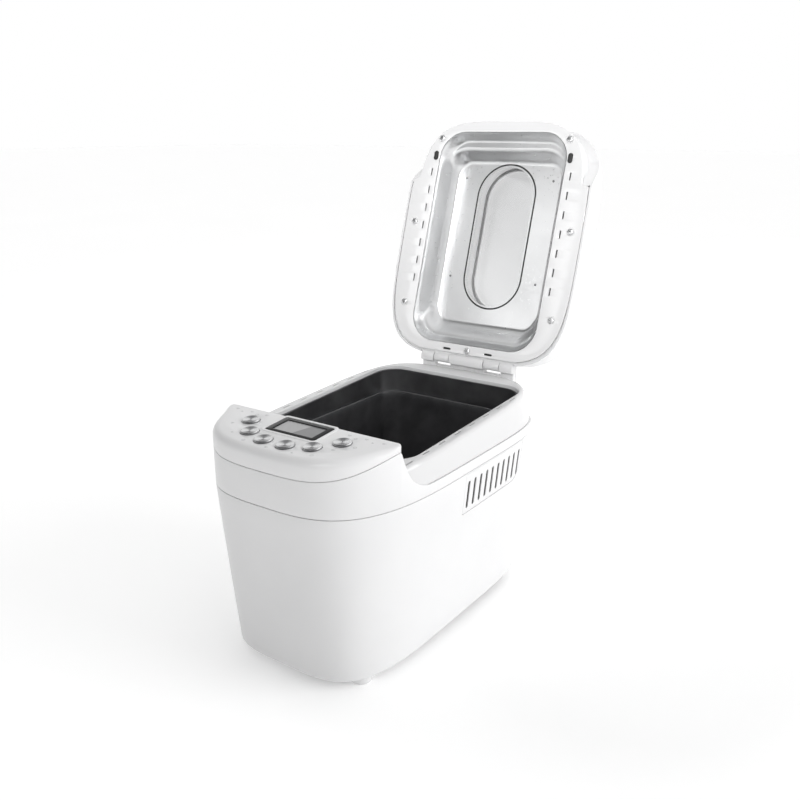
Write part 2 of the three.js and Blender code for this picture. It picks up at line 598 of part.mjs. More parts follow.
// ---------------------------------------------------------------- bread pan
function makeBreadPan() {
  const { a, y0, y1, top, bottom, r, wall } = PAN;
  const tub = (i, z0, z1) => loft([
    roundRect(-a + 13 + i, a - 13 - i, y0 + 13 + i, y1 - 13 - i, r - 10, z0),
    roundRect(-a + 6 + i, a - 6 - i, y0 + 6 + i, y1 - 6 - i, r - 5, z0 + 8),
    roundRect(-a + 2 + i, a - 2 - i, y0 + 2 + i, y1 - 2 - i, r - i, z1),
  ]);
  let pan = tub(0, bottom, top);
  // Rolled rim.
  pan = join(pan, roundRectPrism(-a, a, y0, y1, r, top - 4, top - 0.6));
  pan = pan.subtract(tub(wall, bottom + wall, top + 4));
  // Foot ring that drops into the pan seat.
  pan = join(pan, turned(0, DRIVE_Y, [[20.5, 74.5], [22.5, 74.5], [22.5, bottom + 1], [20.5, bottom + 1],
    [20.5, 74.5]], 22));
  pan = pan.subtract(disc(0, DRIVE_Y, 5.4, 60, 100, 20));
  // Ears that carry the handle.
  for (const [y, s] of [[y0, -1], [y1, 1]]) {
    pan = join(pan, roundRectPrism(-9, 9, Math.min(y, y + s * 2.4), Math.max(y, y + s * 2.4), 1, top - 16,
      top - 1, 2));
    pan = join(pan, box(-9, 9, Math.min(y - s * 3.2, y + s), Math.max(y - s * 3.2, y + s), top - 4,
      top - 1));
    const hole = new THREE.CylinderGeometry(2.6, 2.6, 5.4, 14);
    hole.translate(0, y + s * 1.7, top - 9);
    pan = pan.subtract(solid(hole));
  }
  return pan;
}

const HANDLE_Z = PAN.top - 9;
function makePanHandle() {
  const reach = 85.5;
  const [ya, yb] = [PAN.y0 - 7, PAN.y1 + 7];
  const path = [[0, PAN.y0 - 0.6, HANDLE_Z], [0, ya + 2, HANDLE_Z], [-1.8, ya, HANDLE_Z],
    [-20, ya, HANDLE_Z],
    [-reach + 8, ya, HANDLE_Z], [-reach + 2.4, ya + 2.4, HANDLE_Z], [-reach, ya + 8, HANDLE_Z],
    [-reach, yb - 8, HANDLE_Z], [-reach + 2.4, yb - 2.4, HANDLE_Z], [-reach + 8, yb, HANDLE_Z],
    [-20, yb, HANDLE_Z], [-1.8, yb, HANDLE_Z], [0, yb - 2, HANDLE_Z], [0, PAN.y1 + 0.6, HANDLE_Z]];
  return rod(path, 2, 10);
}

function makePanShaft() {
  const stem = turned(0, DRIVE_Y, [[0, 66.5], [5, 66.5], [5, PAN.bottom + PAN.wall + 1],
    [4, PAN.bottom + PAN.wall + 1.4],
    [4, 100], [3, 101], [0, 101]], 16);
  const wing = box(-8.6, 8.6, DRIVE_Y + 3.4, DRIVE_Y + 6.4, 66, 70)
    .intersect(disc(0, DRIVE_Y, 10.2, 60, 80, 16));
  const wing2 = box(-8.6, 8.6, DRIVE_Y - 6.4, DRIVE_Y - 3.4, 66, 70)
    .intersect(disc(0, DRIVE_Y, 10.2, 60, 80, 16));
  const flat = box(2.6, 6, DRIVE_Y - 8, DRIVE_Y + 8, PAN.bottom + 3.2, 110);
  return join(stem, wing, wing2, disc(0, DRIVE_Y, 6.4, 66, 70, 16)).subtract(flat);
}

function makePaddle() {
  const z = PAN.bottom + PAN.wall + 2;
  let hub = turned(0, DRIVE_Y, [[0, z], [10, z], [9, z + 12], [7.5, z + 20], [0, z + 20]], 18);
  const blade = loft([
    roundRect(4, 44, DRIVE_Y - 3, DRIVE_Y + 3, 2.6, z + 0.5, 3),
    roundRect(4, 42, DRIVE_Y - 2.4, DRIVE_Y + 2.4, 2.2, z + 12, 3),
    roundRect(4, 30, DRIVE_Y - 1.8, DRIVE_Y + 1.8, 1.6, z + 30, 3),
  ]);
  hub = join(hub, blade);
  const bore = disc(0, DRIVE_Y, 4.45, z - 5, 101.6, 16)
    .subtract(box(2.9, 8, DRIVE_Y - 8, DRIVE_Y + 8, z - 6, 110));
  return hub.subtract(bore);
}

// ---------------------------------------------------------------- lid
// Lid pieces are drawn lying flat: x across, y = minus the distance from the hinge, z above the rim.
function lidRing(a, n, t, inset = 0, w0 = 4.6, w1 = LID_LENGTH, points = 40) {
  const [centre, half] = [(w0 + w1) / 2, (w1 - w0) / 2];
  const ring = [];
  for (let i = 0; i < points; i++) {
    const q = (2 * Math.PI * i) / points;
    const x = (a - inset) * power(Math.cos(q), 2 / n);
    const y = -centre + (half - inset) * power(Math.sin(q), 2 / n);
    ring.push([x, y, typeof t === 'function' ? t(x, y) : t]);
  }
  return ring;
}

function openLid(body) {
  const m = new THREE.Matrix4().makeTranslation(0, HINGE.y, HINGE.z);
  m.multiply(new THREE.Matrix4().makeRotationX(LID_TILT - LID_OPEN));
  m.multiply(new THREE.Matrix4().makeTranslation(0, 0, -LID_DROP));
  return body.transform([...m.elements]);
}

const lidStadium = (grow, t0, t1) => roundRectPrism(-WINDOW.a - grow, WINDOW.a + grow,
  -WINDOW.w - WINDOW.half - grow, -WINDOW.w + WINDOW.half + grow, WINDOW.a + grow - 0.01, t0, t1, 6);

// The dome leans forward: highest over the window, lower towards the hinge and the front.
function lidDome(inset, drop) {
  const a = SHELL_A;
  const profile = [[0, 0], [0, 14], [0.8, 27], [3, 39], [8.5, 49], [18, 52.5], [36, SHELL_HEIGHT]];
  return loft(profile.map(([d, t]) => lidRing(a, SHELL_N, Math.max(t - drop, t ? 1 : -4), inset + d, 1)));
}

const T_GLASS = 32;                // height of the inner pane above the rim
const LID_SCREWS = [['front_left', -83.5, 262], ['front_right', 83.5, 262], ['middle_left', -103.4, 159.6],
  ['middle_right', 103.4, 159.6], ['rear_left', -99.0, 60], ['rear_right', 99.0, 60],
  ['rear_middle', 0, 11.2]];
const LID_PADS = [['left', -88, 241], ['right', 88, 241]];
const LID_SLOTS = { x: 91.2, w0: 91.4, pitch: 21.6, count: 7, length: 9, width: 1.7 };

// Rim line of the shell: it lifts in front of the step to leave a finger grip on both sides.
function gripCut(shift) {
  const s = new THREE.Shape();
  const top = 25 + shift;
  s.moveTo(-LINER_STEP + 6, -10);
  s.lineTo(-LINER_STEP + 6, -1 + shift);
  s.bezierCurveTo(-LINER_STEP - 14, -1 + shift, -LINER_STEP - 10, top, -LINER_STEP - 34, top);
  s.lineTo(-LID_LENGTH - 10, top);
  s.lineTo(-LID_LENGTH - 10, -10);
  return s.getPoints(6).map((p) => [p.x, p.y]);
}

// Shelf from the lifted rim inwards, and a skirt from it down to the front edge of the liner.
function gripWeb() {
  const narrow = (inset, t0, t1) => loft([
    lidRing(LINER_FRONT_A, LID_N, t0, inset), lidRing(LINER_FRONT_A, LID_N, t1, inset)]);
  const belowShelfTop = prismX(gripCut(2.6), -140, 140);
  const shelf = lidDome(1, 0).intersect(belowShelfTop)
    .subtract(prismX(gripCut(0), -140, 140)).subtract(narrow(2.6, -5, 40));
  const skirt = narrow(0.8, 2.7, 32).subtract(narrow(2.8, 0, 40)).intersect(belowShelfTop);
  return join(shelf, skirt).intersect(box(-140, 140, -LID_LENGTH - 10, -LINER_STEP - 0.6, -20, 60))
    .subtract(narrow(-0.3, -20, 2.6));
}

function makeLidShell() {
  let shell = lidDome(0, 0).subtract(lidDome(WALL, WALL));
  const grip = prismX(gripCut(0), -140, 140);
  shell = shell.subtract(grip);
  shell = shell.subtract(lidStadium(0, 20, 90));
  // White tunnel between the two window panes.
  const roof = SHELL_HEIGHT - WALL;
  const tunnel = lidStadium(4.9, T_GLASS + 3.2, roof + 0.5).subtract(lidStadium(3.4, 20, 90));
  shell = join(shell, gripWeb(), tunnel);
  // Rear end is cut back round the hinge bracket; two arms reach the hinge pin.
  shell = shell.subtract(box(-HINGE.half - 2, HINGE.half + 2, -16, 10, -10, 34));
  for (const side of [-1, 1]) {
    const arm = prismX([[-12.4, 12], [-12.4, 30], [-19, 38], [-26, 47], [-24, 52.5], [-13, 46.5], [-6, 37],
      [1, 28], [4.8, 17], [6, 8], [5.2, 3], [2.5, 0.6], [-1, 0.1], [-4.5, 2], [-6.8, 6]],
    side > 0 ? 24 : -44, side > 0 ? 44 : -24);
    shell = join(shell, arm);
  }
  const bore = new THREE.CylinderGeometry(HINGE.pin + 0.35, HINGE.pin + 0.35, 200, 18);
  bore.rotateZ(Math.PI / 2);
  bore.translate(0, 0, LID_DROP);
  return openLid(shell.subtract(solid(bore)));
}

function linerOutline(inset, t0, t1) {
  const wide = loft([lidRing(LINER_A, LID_N, t0, inset), lidRing(LINER_A, LID_N, t1, inset)]);
  const narrow = loft([lidRing(LINER_FRONT_A, LID_N, t0, inset), lidRing(LINER_FRONT_A, LID_N, t1, inset)]);
  return join(wide.intersect(box(-130, 130, -LINER_STEP, 20, -5, 60)), narrow);
}

function makeLidLiner() {
  let liner = linerOutline(0, 0, 2.2);
  // A stiffening flange stands up just inside the edge.
  liner = join(liner, linerOutline(4, 1.5, 9).subtract(linerOutline(6, -2, 20)));
  const { a, w0, w1, r } = REFLECTOR;
  liner = liner.subtract(roundRectPrism(-a, a, -w1, -w0, r, -5, 20));
  liner = liner.subtract(box(-HINGE.half - 1, HINGE.half + 1, -7.2, 20, -10, 20));
  liner = liner.subtract(box(-HINGE.half - 1, HINGE.half + 1, -13.4, 20, 2.2, 20));
  for (const side of [-1, 1]) {
    for (let i = 0; i < LID_SLOTS.count; i++) {
      const w = LID_SLOTS.w0 + i * LID_SLOTS.pitch;
      const [cx, hw, hl] = [side * LID_SLOTS.x, LID_SLOTS.width / 2, LID_SLOTS.length / 2];
      liner = liner.subtract(box(cx - hw, cx + hw, -w - hl, -w + hl, -3, 12));
    }
    liner = liner.subtract(box(side * 28 - 5, side * 28 + 5, -12.4, -10, -3, 12));
  }
  for (const [, x, w] of LID_SCREWS) liner = liner.subtract(disc(x, -w, 2.0, -3, 12, 10));
  for (const [, x, w] of LID_PADS) liner = liner.subtract(disc(x, -w, 2.0, -3, 12, 10));
  return openLid(liner);
}

function makeLidScrew(x, w) {
  return openLid(turned(x, -w, [[0, -1.3], [2.4, -1.3], [3.6, -0.35], [1.55, -0.35], [1.55, 8.5], [0, 9]],
    10));
}

function makeLidPad(x, w) {
  const pad = roundRectPrism(x - 2.8, x + 2.8, -w - 5.5, -w + 5.5, 2.7, -1.9, -0.3, 3);
  return openLid(join(pad, disc(x, -w, 1.6, -0.6, 5, 10)));
}

function makeReflector() {
  const { a, w0, w1, depth, r } = REFLECTOR;
  // Deep-drawn tray: shallow shelf at the front end, full depth over the rest.
  const tray = (i, lift) => join(
    loft([
      roundRect(-a + 0.5 + i, a - 0.5 - i, -w1 + 0.5 + i, -w0 - 0.5 - i, r - i, -lift - 2),
      roundRect(-a + 1 + i, a - 1 - i, -w1 + 1 + i, -w0 - 1 - i, r - i, 3),
      roundRect(-a + 9 + i, a - 9 - i, -w1 + 9 + i, -w0 - 9 - i, r - 4 - i, 12 - i),
    ]),
    loft([
      roundRect(-a + 9 + i, a - 9 - i, -w1 + 22 + i, -w0 - 9 - i, r - 4 - i, 6),
      roundRect(-a + 17 + i, a - 17 - i, -w1 + 34 + i, -w0 - 15 - i, r - 8 - i, depth - i),
    ]));
  let pressed = tray(0, -2).subtract(tray(1, 6));
  // Narrow rim tucked behind the liner.
  const rim = roundRectPrism(-a - 3, a + 3, -w1 - 3, -w0 + 3, r + 3, 2.6, 3.6)
    .subtract(roundRectPrism(-a + 1.7, a - 1.7, -w1 + 1.7, -w0 - 1.7, r - 1.7, 0, 6));
  pressed = join(pressed, rim).subtract(lidStadium(-2, 10, 60));
  return openLid(pressed);
}

const makeWindowGasket = () => openLid(lidStadium(6, T_GLASS - 1.6, T_GLASS + 2.6)
  .subtract(lidStadium(-0.5, T_GLASS - 5, T_GLASS + 5))
  .subtract(lidStadium(3.4, T_GLASS - 0.3, T_GLASS + 1.9)));
const makeInnerGlass = () => openLid(lidStadium(3.1, T_GLASS, T_GLASS + 1.6));
const makeOuterWindow = () => openLid(join(lidStadium(-0.4, SHELL_HEIGHT - 1.6, SHELL_HEIGHT - 0.2),
  lidStadium(3, SHELL_HEIGHT - WALL - 1.8, SHELL_HEIGHT - WALL - 0.4).subtract(lidStadium(-2, 50, 62)),
  lidStadium(-0.4, SHELL_HEIGHT - WALL - 1.8, SHELL_HEIGHT - 0.2).subtract(lidStadium(-2, 50, 62))));

// ---------------------------------------------------------------- hinge
function makeHingeBracket() {
  const { y, z, half, knuckle } = HINGE;
  const arc = Array.from({ length: 8 }, (_, i) => {
    const t = Math.PI * (1.02 - i / 7 * 1.02);
    return [y + knuckle * Math.cos(t), z + knuckle * Math.sin(t)];
  });
  const rear = y + knuckle;
  const cheek = [[177.3, 200], [182, 200], [rear, 206], [rear, z],
    ...arc.reverse().slice(1), [y - knuckle, 233.4], [177.3, 233.4]];
  const foot = [[177.3, 200], [182, 200], [rear, 206], [rear, 228], [177.3, 228]];
  let bracket = prismX(foot, -half, half);
  for (const [x0, x1] of [[-half, -45], [-23, 23], [45, half]]) {
    bracket = join(bracket, prismX(cheek, x0, x1));
  }
  const bore = new THREE.CylinderGeometry(HINGE.pin + GAP, HINGE.pin + GAP, 2 * half - 4, 18);
  bore.rotateZ(Math.PI / 2);
  bore.translate(0, y, z);
  return bracket.subtract(solid(bore));
}

function makeHingePin() {
  const pin = new THREE.CylinderGeometry(HINGE.pin, HINGE.pin, 2 * HINGE.half - 5, 18);
  pin.rotateZ(Math.PI / 2);
  pin.translate(0, HINGE.y, HINGE.z);
  return solid(pin);
}

// ---------------------------------------------------------------- assembly
function buildMachine() {
  const machine = new THREE.Group();
  machine.name = 'bread_machine';
  const add = (name, body, colour) => machine.add(toMesh(name, body, colour));

  add('lower_housing', makeLowerHousing(), 'white');
  add('base_plate', makeBasePlate(), 'grey');
  for (const [name, x, y] of FEET) add(`foot_${name}`, makeFoot(x, y), 'white');
  add('vent_grille_right', makeVentGrille(1), 'white');
  add('vent_grille_left', makeVentGrille(-1), 'white');
  add('upper_collar', makeCollar(), 'white');
  add('deck', makeDeck(), 'gloss');
  add('control_panel', makeControlPanel(), 'white');
  for (const [name, x, y] of BUTTONS) add(`button_${name}`, makeButton(x, y), 'steel');
  add('display_frame', makeDisplayFrame(), 'dark');
  add('display_window', makeDisplayWindow(), 'glass');
  add('display_module', makeDisplayModule(), 'grey');
  add('control_board', makeControlBoard(), 'board');
  add('power_board', makePowerBoard(), 'board');
  add('oven_chamber', makeOvenChamber(), 'steel');
  add('heating_element', makeHeatingElement(), 'steel');
  add('temperature_sensor', makeTemperatureSensor(), 'steel');
  add('pan_seat', makePanSeat(), 'steel');
  add('drive_bearing', makeDriveBearing(), 'steel');
  add('drive_shaft', makeDriveShaft(), 'steel');
  add('large_pulley', makeLargePulley(), 'grey');
  add('drive_belt', makeDriveBelt(), 'rubber');
  add('motor_pulley', makeMotorPulley(), 'steel');
  add('motor', makeMotor(), 'steel');
  add('motor_bracket', makeMotorBracket(), 'steel');
  add('cord_gland', makeCordGland(), 'rubber');
  add('bread_pan', makeBreadPan(), 'nonstick');
  add('pan_handle', makePanHandle(), 'steel');
  add('pan_shaft', makePanShaft(), 'steel');
  add('kneading_paddle', makePaddle(), 'nonstick');
  add('hinge_bracket', makeHingeBracket(), 'white');
  add('hinge_pin', makeHingePin(), 'steel');
  add('lid_shell', makeLidShell(), 'white');
  add('lid_liner', makeLidLiner(), 'white');
  add('lid_reflector', makeReflector(), 'steel');
  add('window_gasket', makeWindowGasket(), 'dark');
  add('inner_window', makeInnerGlass(), 'glass');
  add('outer_window', makeOuterWindow(), 'glass');
  for (const [name, x, w] of LID_PADS) add(`lid_pad_${name}`, makeLidPad(x, w), 'rubber');
  for (const [name, x, w] of LID_SCREWS) add(`lid_screw_${name}`, makeLidScrew(x, w), 'steel');

  for (const mesh of machine.children) mesh.geometry.translate(0, CENTRE_Y, 0);
  return machine;
}

export default buildMachine();
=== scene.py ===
import bisect
import math

import bmesh
import bpy
from mathutils import Matrix, Vector


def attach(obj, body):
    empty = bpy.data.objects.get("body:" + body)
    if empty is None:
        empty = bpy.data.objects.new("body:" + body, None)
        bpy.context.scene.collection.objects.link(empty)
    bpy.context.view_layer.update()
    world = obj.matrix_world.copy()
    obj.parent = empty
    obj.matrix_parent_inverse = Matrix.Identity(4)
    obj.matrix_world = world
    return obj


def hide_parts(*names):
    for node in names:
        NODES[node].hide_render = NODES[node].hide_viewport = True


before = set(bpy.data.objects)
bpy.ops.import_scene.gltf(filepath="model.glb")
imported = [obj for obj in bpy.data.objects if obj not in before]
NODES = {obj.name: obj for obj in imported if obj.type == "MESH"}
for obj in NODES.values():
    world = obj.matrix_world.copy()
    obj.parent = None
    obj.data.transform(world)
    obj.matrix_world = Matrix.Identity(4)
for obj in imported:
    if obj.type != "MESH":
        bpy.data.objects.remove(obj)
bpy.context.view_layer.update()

MM = 0.001
CENTRE_Y = -61.5          # the body's own centre lies this far in front of the row's origin

# ------------------------------------------------------------ dimensions, as in the CAD
FLOOR_Z, PARTING_Z, LEDGE_Z = 8.0, 182.0, 192.5
WALL = 2.5
# Plans: half width, half depth in front and behind, exponent in front and behind.
TOP_PLAN = dict(a=110.0, bf=176.5, br=176.5, nf=3.3, nr=5.6)
BOTTOM_PLAN = dict(a=92.5, bf=157.8, br=170.5, nf=4.0, nr=6.0)
DECK_FOOT = dict(a=108.6, bf=175.2, br=175.2, nf=3.4, nr=5.4)
DECK_TOP = dict(a=106.0, bf=173.0, br=173.0, nf=3.6, nr=4.5)
DECK_Z, DECK_SLOPE, DECK_ROUND = 221.3, 0.049, 4.5
DECK_SLOT_X, DECK_SLOT_Y, DECK_SLOT_PITCH, DECK_SLOTS = 97.6, -88.5, 27.86, 8
VENT_Y0, VENT_Y1, VENT_Z0, VENT_Z1 = -6.0, 116.0, 137.0, 180.5
VENT_SLOT_Y, VENT_SLOT_Z, VENT_SLOT_PITCH, VENT_SLOTS = 1.5, 157.0, 11.9, 10
OVEN = dict(x=93.5, y0=-90.0, y1=148.0, r=25.0)
PANEL_REAR_Y, PANEL_Z, PANEL_SLOPE, PANEL_ROUND = -104.0, 241.5, 0.085, 8.0
PANEL_ANGLE = math.atan(PANEL_SLOPE)
DISPLAY_Y, DISPLAY_X, DISPLAY_HALF = -122.5, 30.0, 16.0     # centre, half width, half depth
BUTTONS = {
    "left_rear": (-54.9, -129.0), "left_middle": (-37.2, -149.0), "left_front": (-12.9, -157.0),
    "right_front": (12.9, -157.0), "right_middle": (37.2, -149.0), "right_rear": (54.9, -129.0),
}
FEET = {"front_left": (-66, -122), "front_right": (66, -122),
        "rear_left": (-66, 138), "rear_right": (66, 138)}
CORD_OUTLET = (-40, 170, 34)
HINGE_Y, HINGE_Z, LID_DROP = 179.0, 238.1, 6.0
LID_ANGLE = math.atan(DECK_SLOPE) - math.radians(109.8)
LID_LENGTH, LINER_A, LINER_FRONT_A, LINER_STEP = 282.0, 116.5, 108.5, 211.5
LINER_REAR, SHELL_REAR = 4.6, 1.0
LID_N, SHELL_A, SHELL_N = 4.2, 119.6, 4.4
LID_SLOT_U, LID_SLOT_W, LID_SLOT_PITCH, LID_SLOTS = 91.2, 91.4, 21.6, 7
HINGE_SLOT_U, HINGE_SLOT_W = 28, 11.2
PAD_U, PAD_W = 88, 241
LID_SCREWS = {"front_left": (-83.5, 262), "front_right": (83.5, 262), "middle_left": (-103.4, 159.6),
              "middle_right": (103.4, 159.6), "rear_left": (-99.0, 60), "rear_right": (99.0, 60),
              "rear_middle": (0, 11.2)}
REFLECTOR = dict(a=83.5, w0=18.0, w1=270.0, r=32.0)
RIVETS = ((-58, 222), (58, 222), (-58, 101), (58, 101))
WINDOW_A, WINDOW_W, WINDOW_HALF = 37.5, 153.0, 86.0
GLASS_T, SHELL_T = 32.0, 58.0
PAN = dict(a=78.0, y0=-72.0, y1=128.0, top=205.0, bottom=82.0, r=24.0)
DRIVE = (0, 28.0, 0)      # foot of the drive's axis

# ------------------------------------------------------------ camera, fitted to the photograph
CAMERA_AZIMUTH, CAMERA_ELEVATION = math.radians(34.74), math.radians(17.37)
CAMERA_PLACE = (504.1, -688.6, 502.9)
SENSOR_WIDTH, LENS = 36.0, 39.204


# ------------------------------------------------------------ mesh helpers
def at(x, y, z):
    """Point of the machine, measured from the middle of its body."""
    return Vector((x * MM, (y + CENTRE_Y) * MM, z * MM))


def add_object(name, data):
    obj = bpy.data.objects.new(name, data)
    bpy.context.scene.collection.objects.link(obj)
    return obj


def evaluated_mesh(obj):
    graph = bpy.context.evaluated_depsgraph_get()
    return bpy.data.meshes.new_from_object(obj.evaluated_get(graph))


def apply_modifiers(obj):
    mesh = evaluated_mesh(obj)
    obj.modifiers.clear()
    obj.data = mesh
    return obj


def edit_mesh(mesh, *steps):
    """Runs functions of a bmesh on a mesh."""
    bm = bmesh.new()
    bm.from_mesh(mesh)
    for step in steps:
        step(bm)
    bm.to_mesh(mesh)
    bm.free()


def face_outward(bm):
    bmesh.ops.recalc_face_normals(bm, faces=bm.faces)


def weld(bm):
    bmesh.ops.remove_doubles(bm, verts=bm.verts, dist=1e-6)


def open_edges(bm):
    return [e for e in bm.edges if e.is_boundary]


def fill_holes(bm):
    bmesh.ops.holes_fill(bm, edges=open_edges(bm), sides=0)


def bridge(bm):
    """Joins the two open ends of a turned sleeve."""
    bmesh.ops.bridge_loops(bm, edges=open_edges(bm))


def smooth(obj, angle=35.0):
    obj.data.shade_smooth()
    obj.data.set_sharp_from_angle(angle=math.radians(angle))


def rows_object(name, rows, loop=False, caps=False):
    """Joins closed rows of points in metres; loop joins the last row to the first, caps closes both."""
    n, count = len(rows[0]), len(rows)
    faces = []
    for j in range(count if loop else count - 1):
        k = (j + 1) % count
        faces += [(j * n + i, j * n + (i + 1) % n, k * n + (i + 1) % n, k * n + i) for i in range(n)]
    if caps:
        faces.append(tuple(reversed(range(n))))
        faces.append(tuple((count - 1) * n + i for i in range(n)))
    mesh = bpy.data.meshes.new(name)
    mesh.from_pydata([v for row in rows for v in row], [], faces)
    mesh.validate()
    edit_mesh(mesh, face_outward)
    return add_object(name, mesh)


def level(outline, z):
    """Row of points of the machine over an outline; z is a height or a function of y."""
    return [at(x, y, z(y) if callable(z) else z) for x, y in outline]


def prism_object(name, outline, low, high, axis="X"):
    """Solid from an outline; axis X takes (y, z) points, axis Z takes (x, y) points."""
    def point(p, d):
        return at(d, *p) if axis == "X" else at(*p, d)
    return rows_object(name, [[point(p, d) for p in outline] for d in (low, high)], caps=True)


def flat_row(outline, z):
    return [Vector((x, y, z)) * MM for x, y in outline]


def slab(name, outline, low, high):
    """Flat solid in a frame of its own."""
    return rows_object(name, [flat_row(outline, z) for z in (low, high)], caps=True)


def turned(name, profile, segments=64, closed=True):
    """Turned piece about its own Z axis from (radius, height) points."""
    angles = [2 * math.pi * i / segments for i in range(segments)]
    rows = [[Vector((r * math.cos(a), r * math.sin(a), z)) * MM for a in angles] for r, z in profile]
    return rows_object(name, rows, caps=closed)


def onto(obj, matrix):
    obj.matrix_world = matrix
    return obj


def stand(obj, place, axis=None):
    """Moves a turned piece to a point of the machine; axis is the one that it is tipped about."""
    tip = Matrix.Rotation(math.pi / 2, 4, axis) if axis else Matrix()
    return onto(obj, Matrix.Translation(at(*place)) @ tip)


def drill(radius, low, high, place, axis=None, segments=40):
    """Cutting cylinder from low to high along its own axis."""
    return stand(turned("drill", [(radius, low), (radius, high)], segments), place, axis)


def round_edges(obj, width, segments=3, angle=40.0):
    mod = obj.modifiers.new("round", "BEVEL")
    mod.width = width * MM
    mod.segments = segments
    mod.limit_method = "ANGLE"
    mod.angle_limit = math.radians(angle)
    mod.harden_normals = False
    return apply_modifiers(obj)


def thicken(obj, depth):
    mod = obj.modifiers.new("wall", "SOLIDIFY")
    mod.thickness = depth * MM
    mod.offset = -1.0
    mod.use_even_offset = False
    return apply_modifiers(obj)


def carve(obj, cutters, operation="DIFFERENCE"):
    for cutter in cutters:
        mod = obj.modifiers.new("cut", "BOOLEAN")
        mod.operation = operation
        mod.solver = "EXACT"
        mod.object = cutter
        apply_modifiers(obj)
        bpy.data.objects.remove(cutter)
    return obj


def merged(name, objects):
    """One object from several, each kept as its own shell."""
    bm = bmesh.new()
    for obj in objects:
        part = obj.data.copy()
        part.transform(obj.matrix_world)
        bm.from_mesh(part)
        bpy.data.objects.remove(obj)
    mesh = bpy.data.meshes.new(name)
    bm.to_mesh(mesh)
    bm.free()
    return add_object(name, mesh)


# ------------------------------------------------------------ outlines
def power(v, e):
    return math.copysign(abs(v) ** e, v)


def arc(cx, cy, r, start, end, steps=6):
    """Points of an arc, its ends included, with angles in degrees."""
    angles = [math.radians(start + (end - start) * i / steps) for i in range(steps + 1)]
    return [(cx + r * math.cos(a), cy + r * math.sin(a)) for a in angles]


def line(p, q, steps):
    """Points along a straight line, without its end."""
    return [between([p], [q], i / steps)[0] for i in range(steps)]


def circle(cx, cy, r, n=28):
    return arc(cx, cy, r, 0, 360, n)[:-1]


def between(points, others, f):
    """Points a share f of the way from each point to its partner."""
    return [(p[0] + (q[0] - p[0]) * f, p[1] + (q[1] - p[1]) * f) for p, q in zip(points, others)]


def box(half_x, half_y):
    return [(-half_x, -half_y), (half_x, -half_y), (half_x, half_y), (-half_x, half_y)]


def resample(points, n):
    """n points spread evenly along a closed outline."""
    total, marks = 0.0, [0.0]
    for p, q in zip(points, points[1:] + points[:1]):
        total += math.dist(p, q)
        marks.append(total)
    out = []
    for i in range(n):
        d = total * i / n
        k = max(0, bisect.bisect_right(marks, d) - 1)
        f = (d - marks[k]) / max(1e-9, marks[k + 1] - marks[k])
        out += between([points[k]], [points[(k + 1) % len(points)]], f)
    return out


FINE_STEPS = 1440          # samples of a superellipse before its points are spread evenly


def plan_outline(plan, inset=0.0, n=320):
    pts = []
    for i in range(FINE_STEPS):
        t = 2 * math.pi * i / FINE_STEPS
        c, s = math.cos(t), math.sin(t)
        b, e = (plan["bf"], plan["nf"]) if s < 0 else (plan["br"], plan["nr"])
        pts.append(((plan["a"] - inset) * power(c, 2 / e), (b - inset) * power(s, 2 / e)))
    return resample(pts, n)


def round_rect(x0, x1, y0, y1, r, n=200):
    """Rounded rectangle that starts on the middle of its +X side, counter-clockwise."""
    pts = [(x1, (y0 + y1) / 2)]
    corners = ((x1 - r, y1 - r, 0), (x0 + r, y1 - r, 90), (x0 + r, y0 + r, 180), (x1 - r, y0 + r, 270))
    for cx, cy, start in corners:
        pts += arc(cx, cy, r, start, start + 90, 24)
    return resample(pts, n)


def slot_outline(cx, cy, half_w, half_h, steps=6):
    """Upright slot with round ends."""
    reach = half_h - half_w
    return arc(cx, cy + reach, half_w, 0, 180, steps) + arc(cx, cy - reach, half_w, 180, 360, steps)


def mix_plan(p, q, f):
    return {k: p[k] + (q[k] - p[k]) * f for k in p}


def housing_plan(z):
    return mix_plan(BOTTOM_PLAN, TOP_PLAN, (z - FLOOR_Z) / (PARTING_Z - FLOOR_Z))


def oven_outline(grow, n):
    x, y0, y1, r = (OVEN[k] for k in ("x", "y0", "y1", "r"))
    return round_rect(-x - grow, x + grow, y0 - grow, y1 + grow, r + grow, n)


def bezier(points, steps=60):
    """Points along a cubic curve, from its four control points."""
    out = []
    for i in range(steps + 1):
        t = i / steps
        weights = ((1 - t) ** 3, 3 * t * (1 - t) ** 2, 3 * t * t * (1 - t), t ** 3)
        out.append(tuple(sum(w * p[axis] for w, p in zip(weights, points)) for axis in (0, 1)))
    return out


def height_at(curve, y):
    """Height of a curve of (y, z) points in rising order of y, continued straight past its ends."""
    ys = [p[0] for p in curve]
    k = min(max(bisect.bisect_right(ys, y) - 1, 0), len(curve) - 2)
    (ya, za), (yb, zb) = curve[k], curve[k + 1]
    return za + (zb - za) * (y - ya) / (yb - ya)


# Side views, (y, z): the step down from the panel to the ledge, and the seam under the panel.
STEP_CURVE = [(-111.7, 249.0), (-109.6, 241.5)]
STEP_CURVE += bezier(((-107.5, 234), (-99, 208), (-94, 197), (-70, LEDGE_Z)))
SEAM_CURVE = bezier(((-180, 215.5), (-160, 216.5), (-140, 229), (-100, 236)))


def deck_z(y, drop=0.0):
    return DECK_Z + DECK_SLOPE * y - drop


def below_deck(drop):
    """Height of a sloping level under the deck, as a function of y."""
    return lambda y: deck_z(y, drop)


def panel_z(y, drop=0.0):
    return PANEL_Z + PANEL_SLOPE * (y - PANEL_REAR_Y) - drop


def smoothstep(a, b, v):
    t = min(1.0, max(0.0, (v - a) / (b - a)))
    return t * t * (3 - 2 * t)


# ------------------------------------------------------------ shader nodes
def node_material(name):
    mat = bpy.data.materials.new(name)
    mat.use_nodes = True
    tree = mat.node_tree
    return mat, tree, tree.nodes["Principled BSDF"]


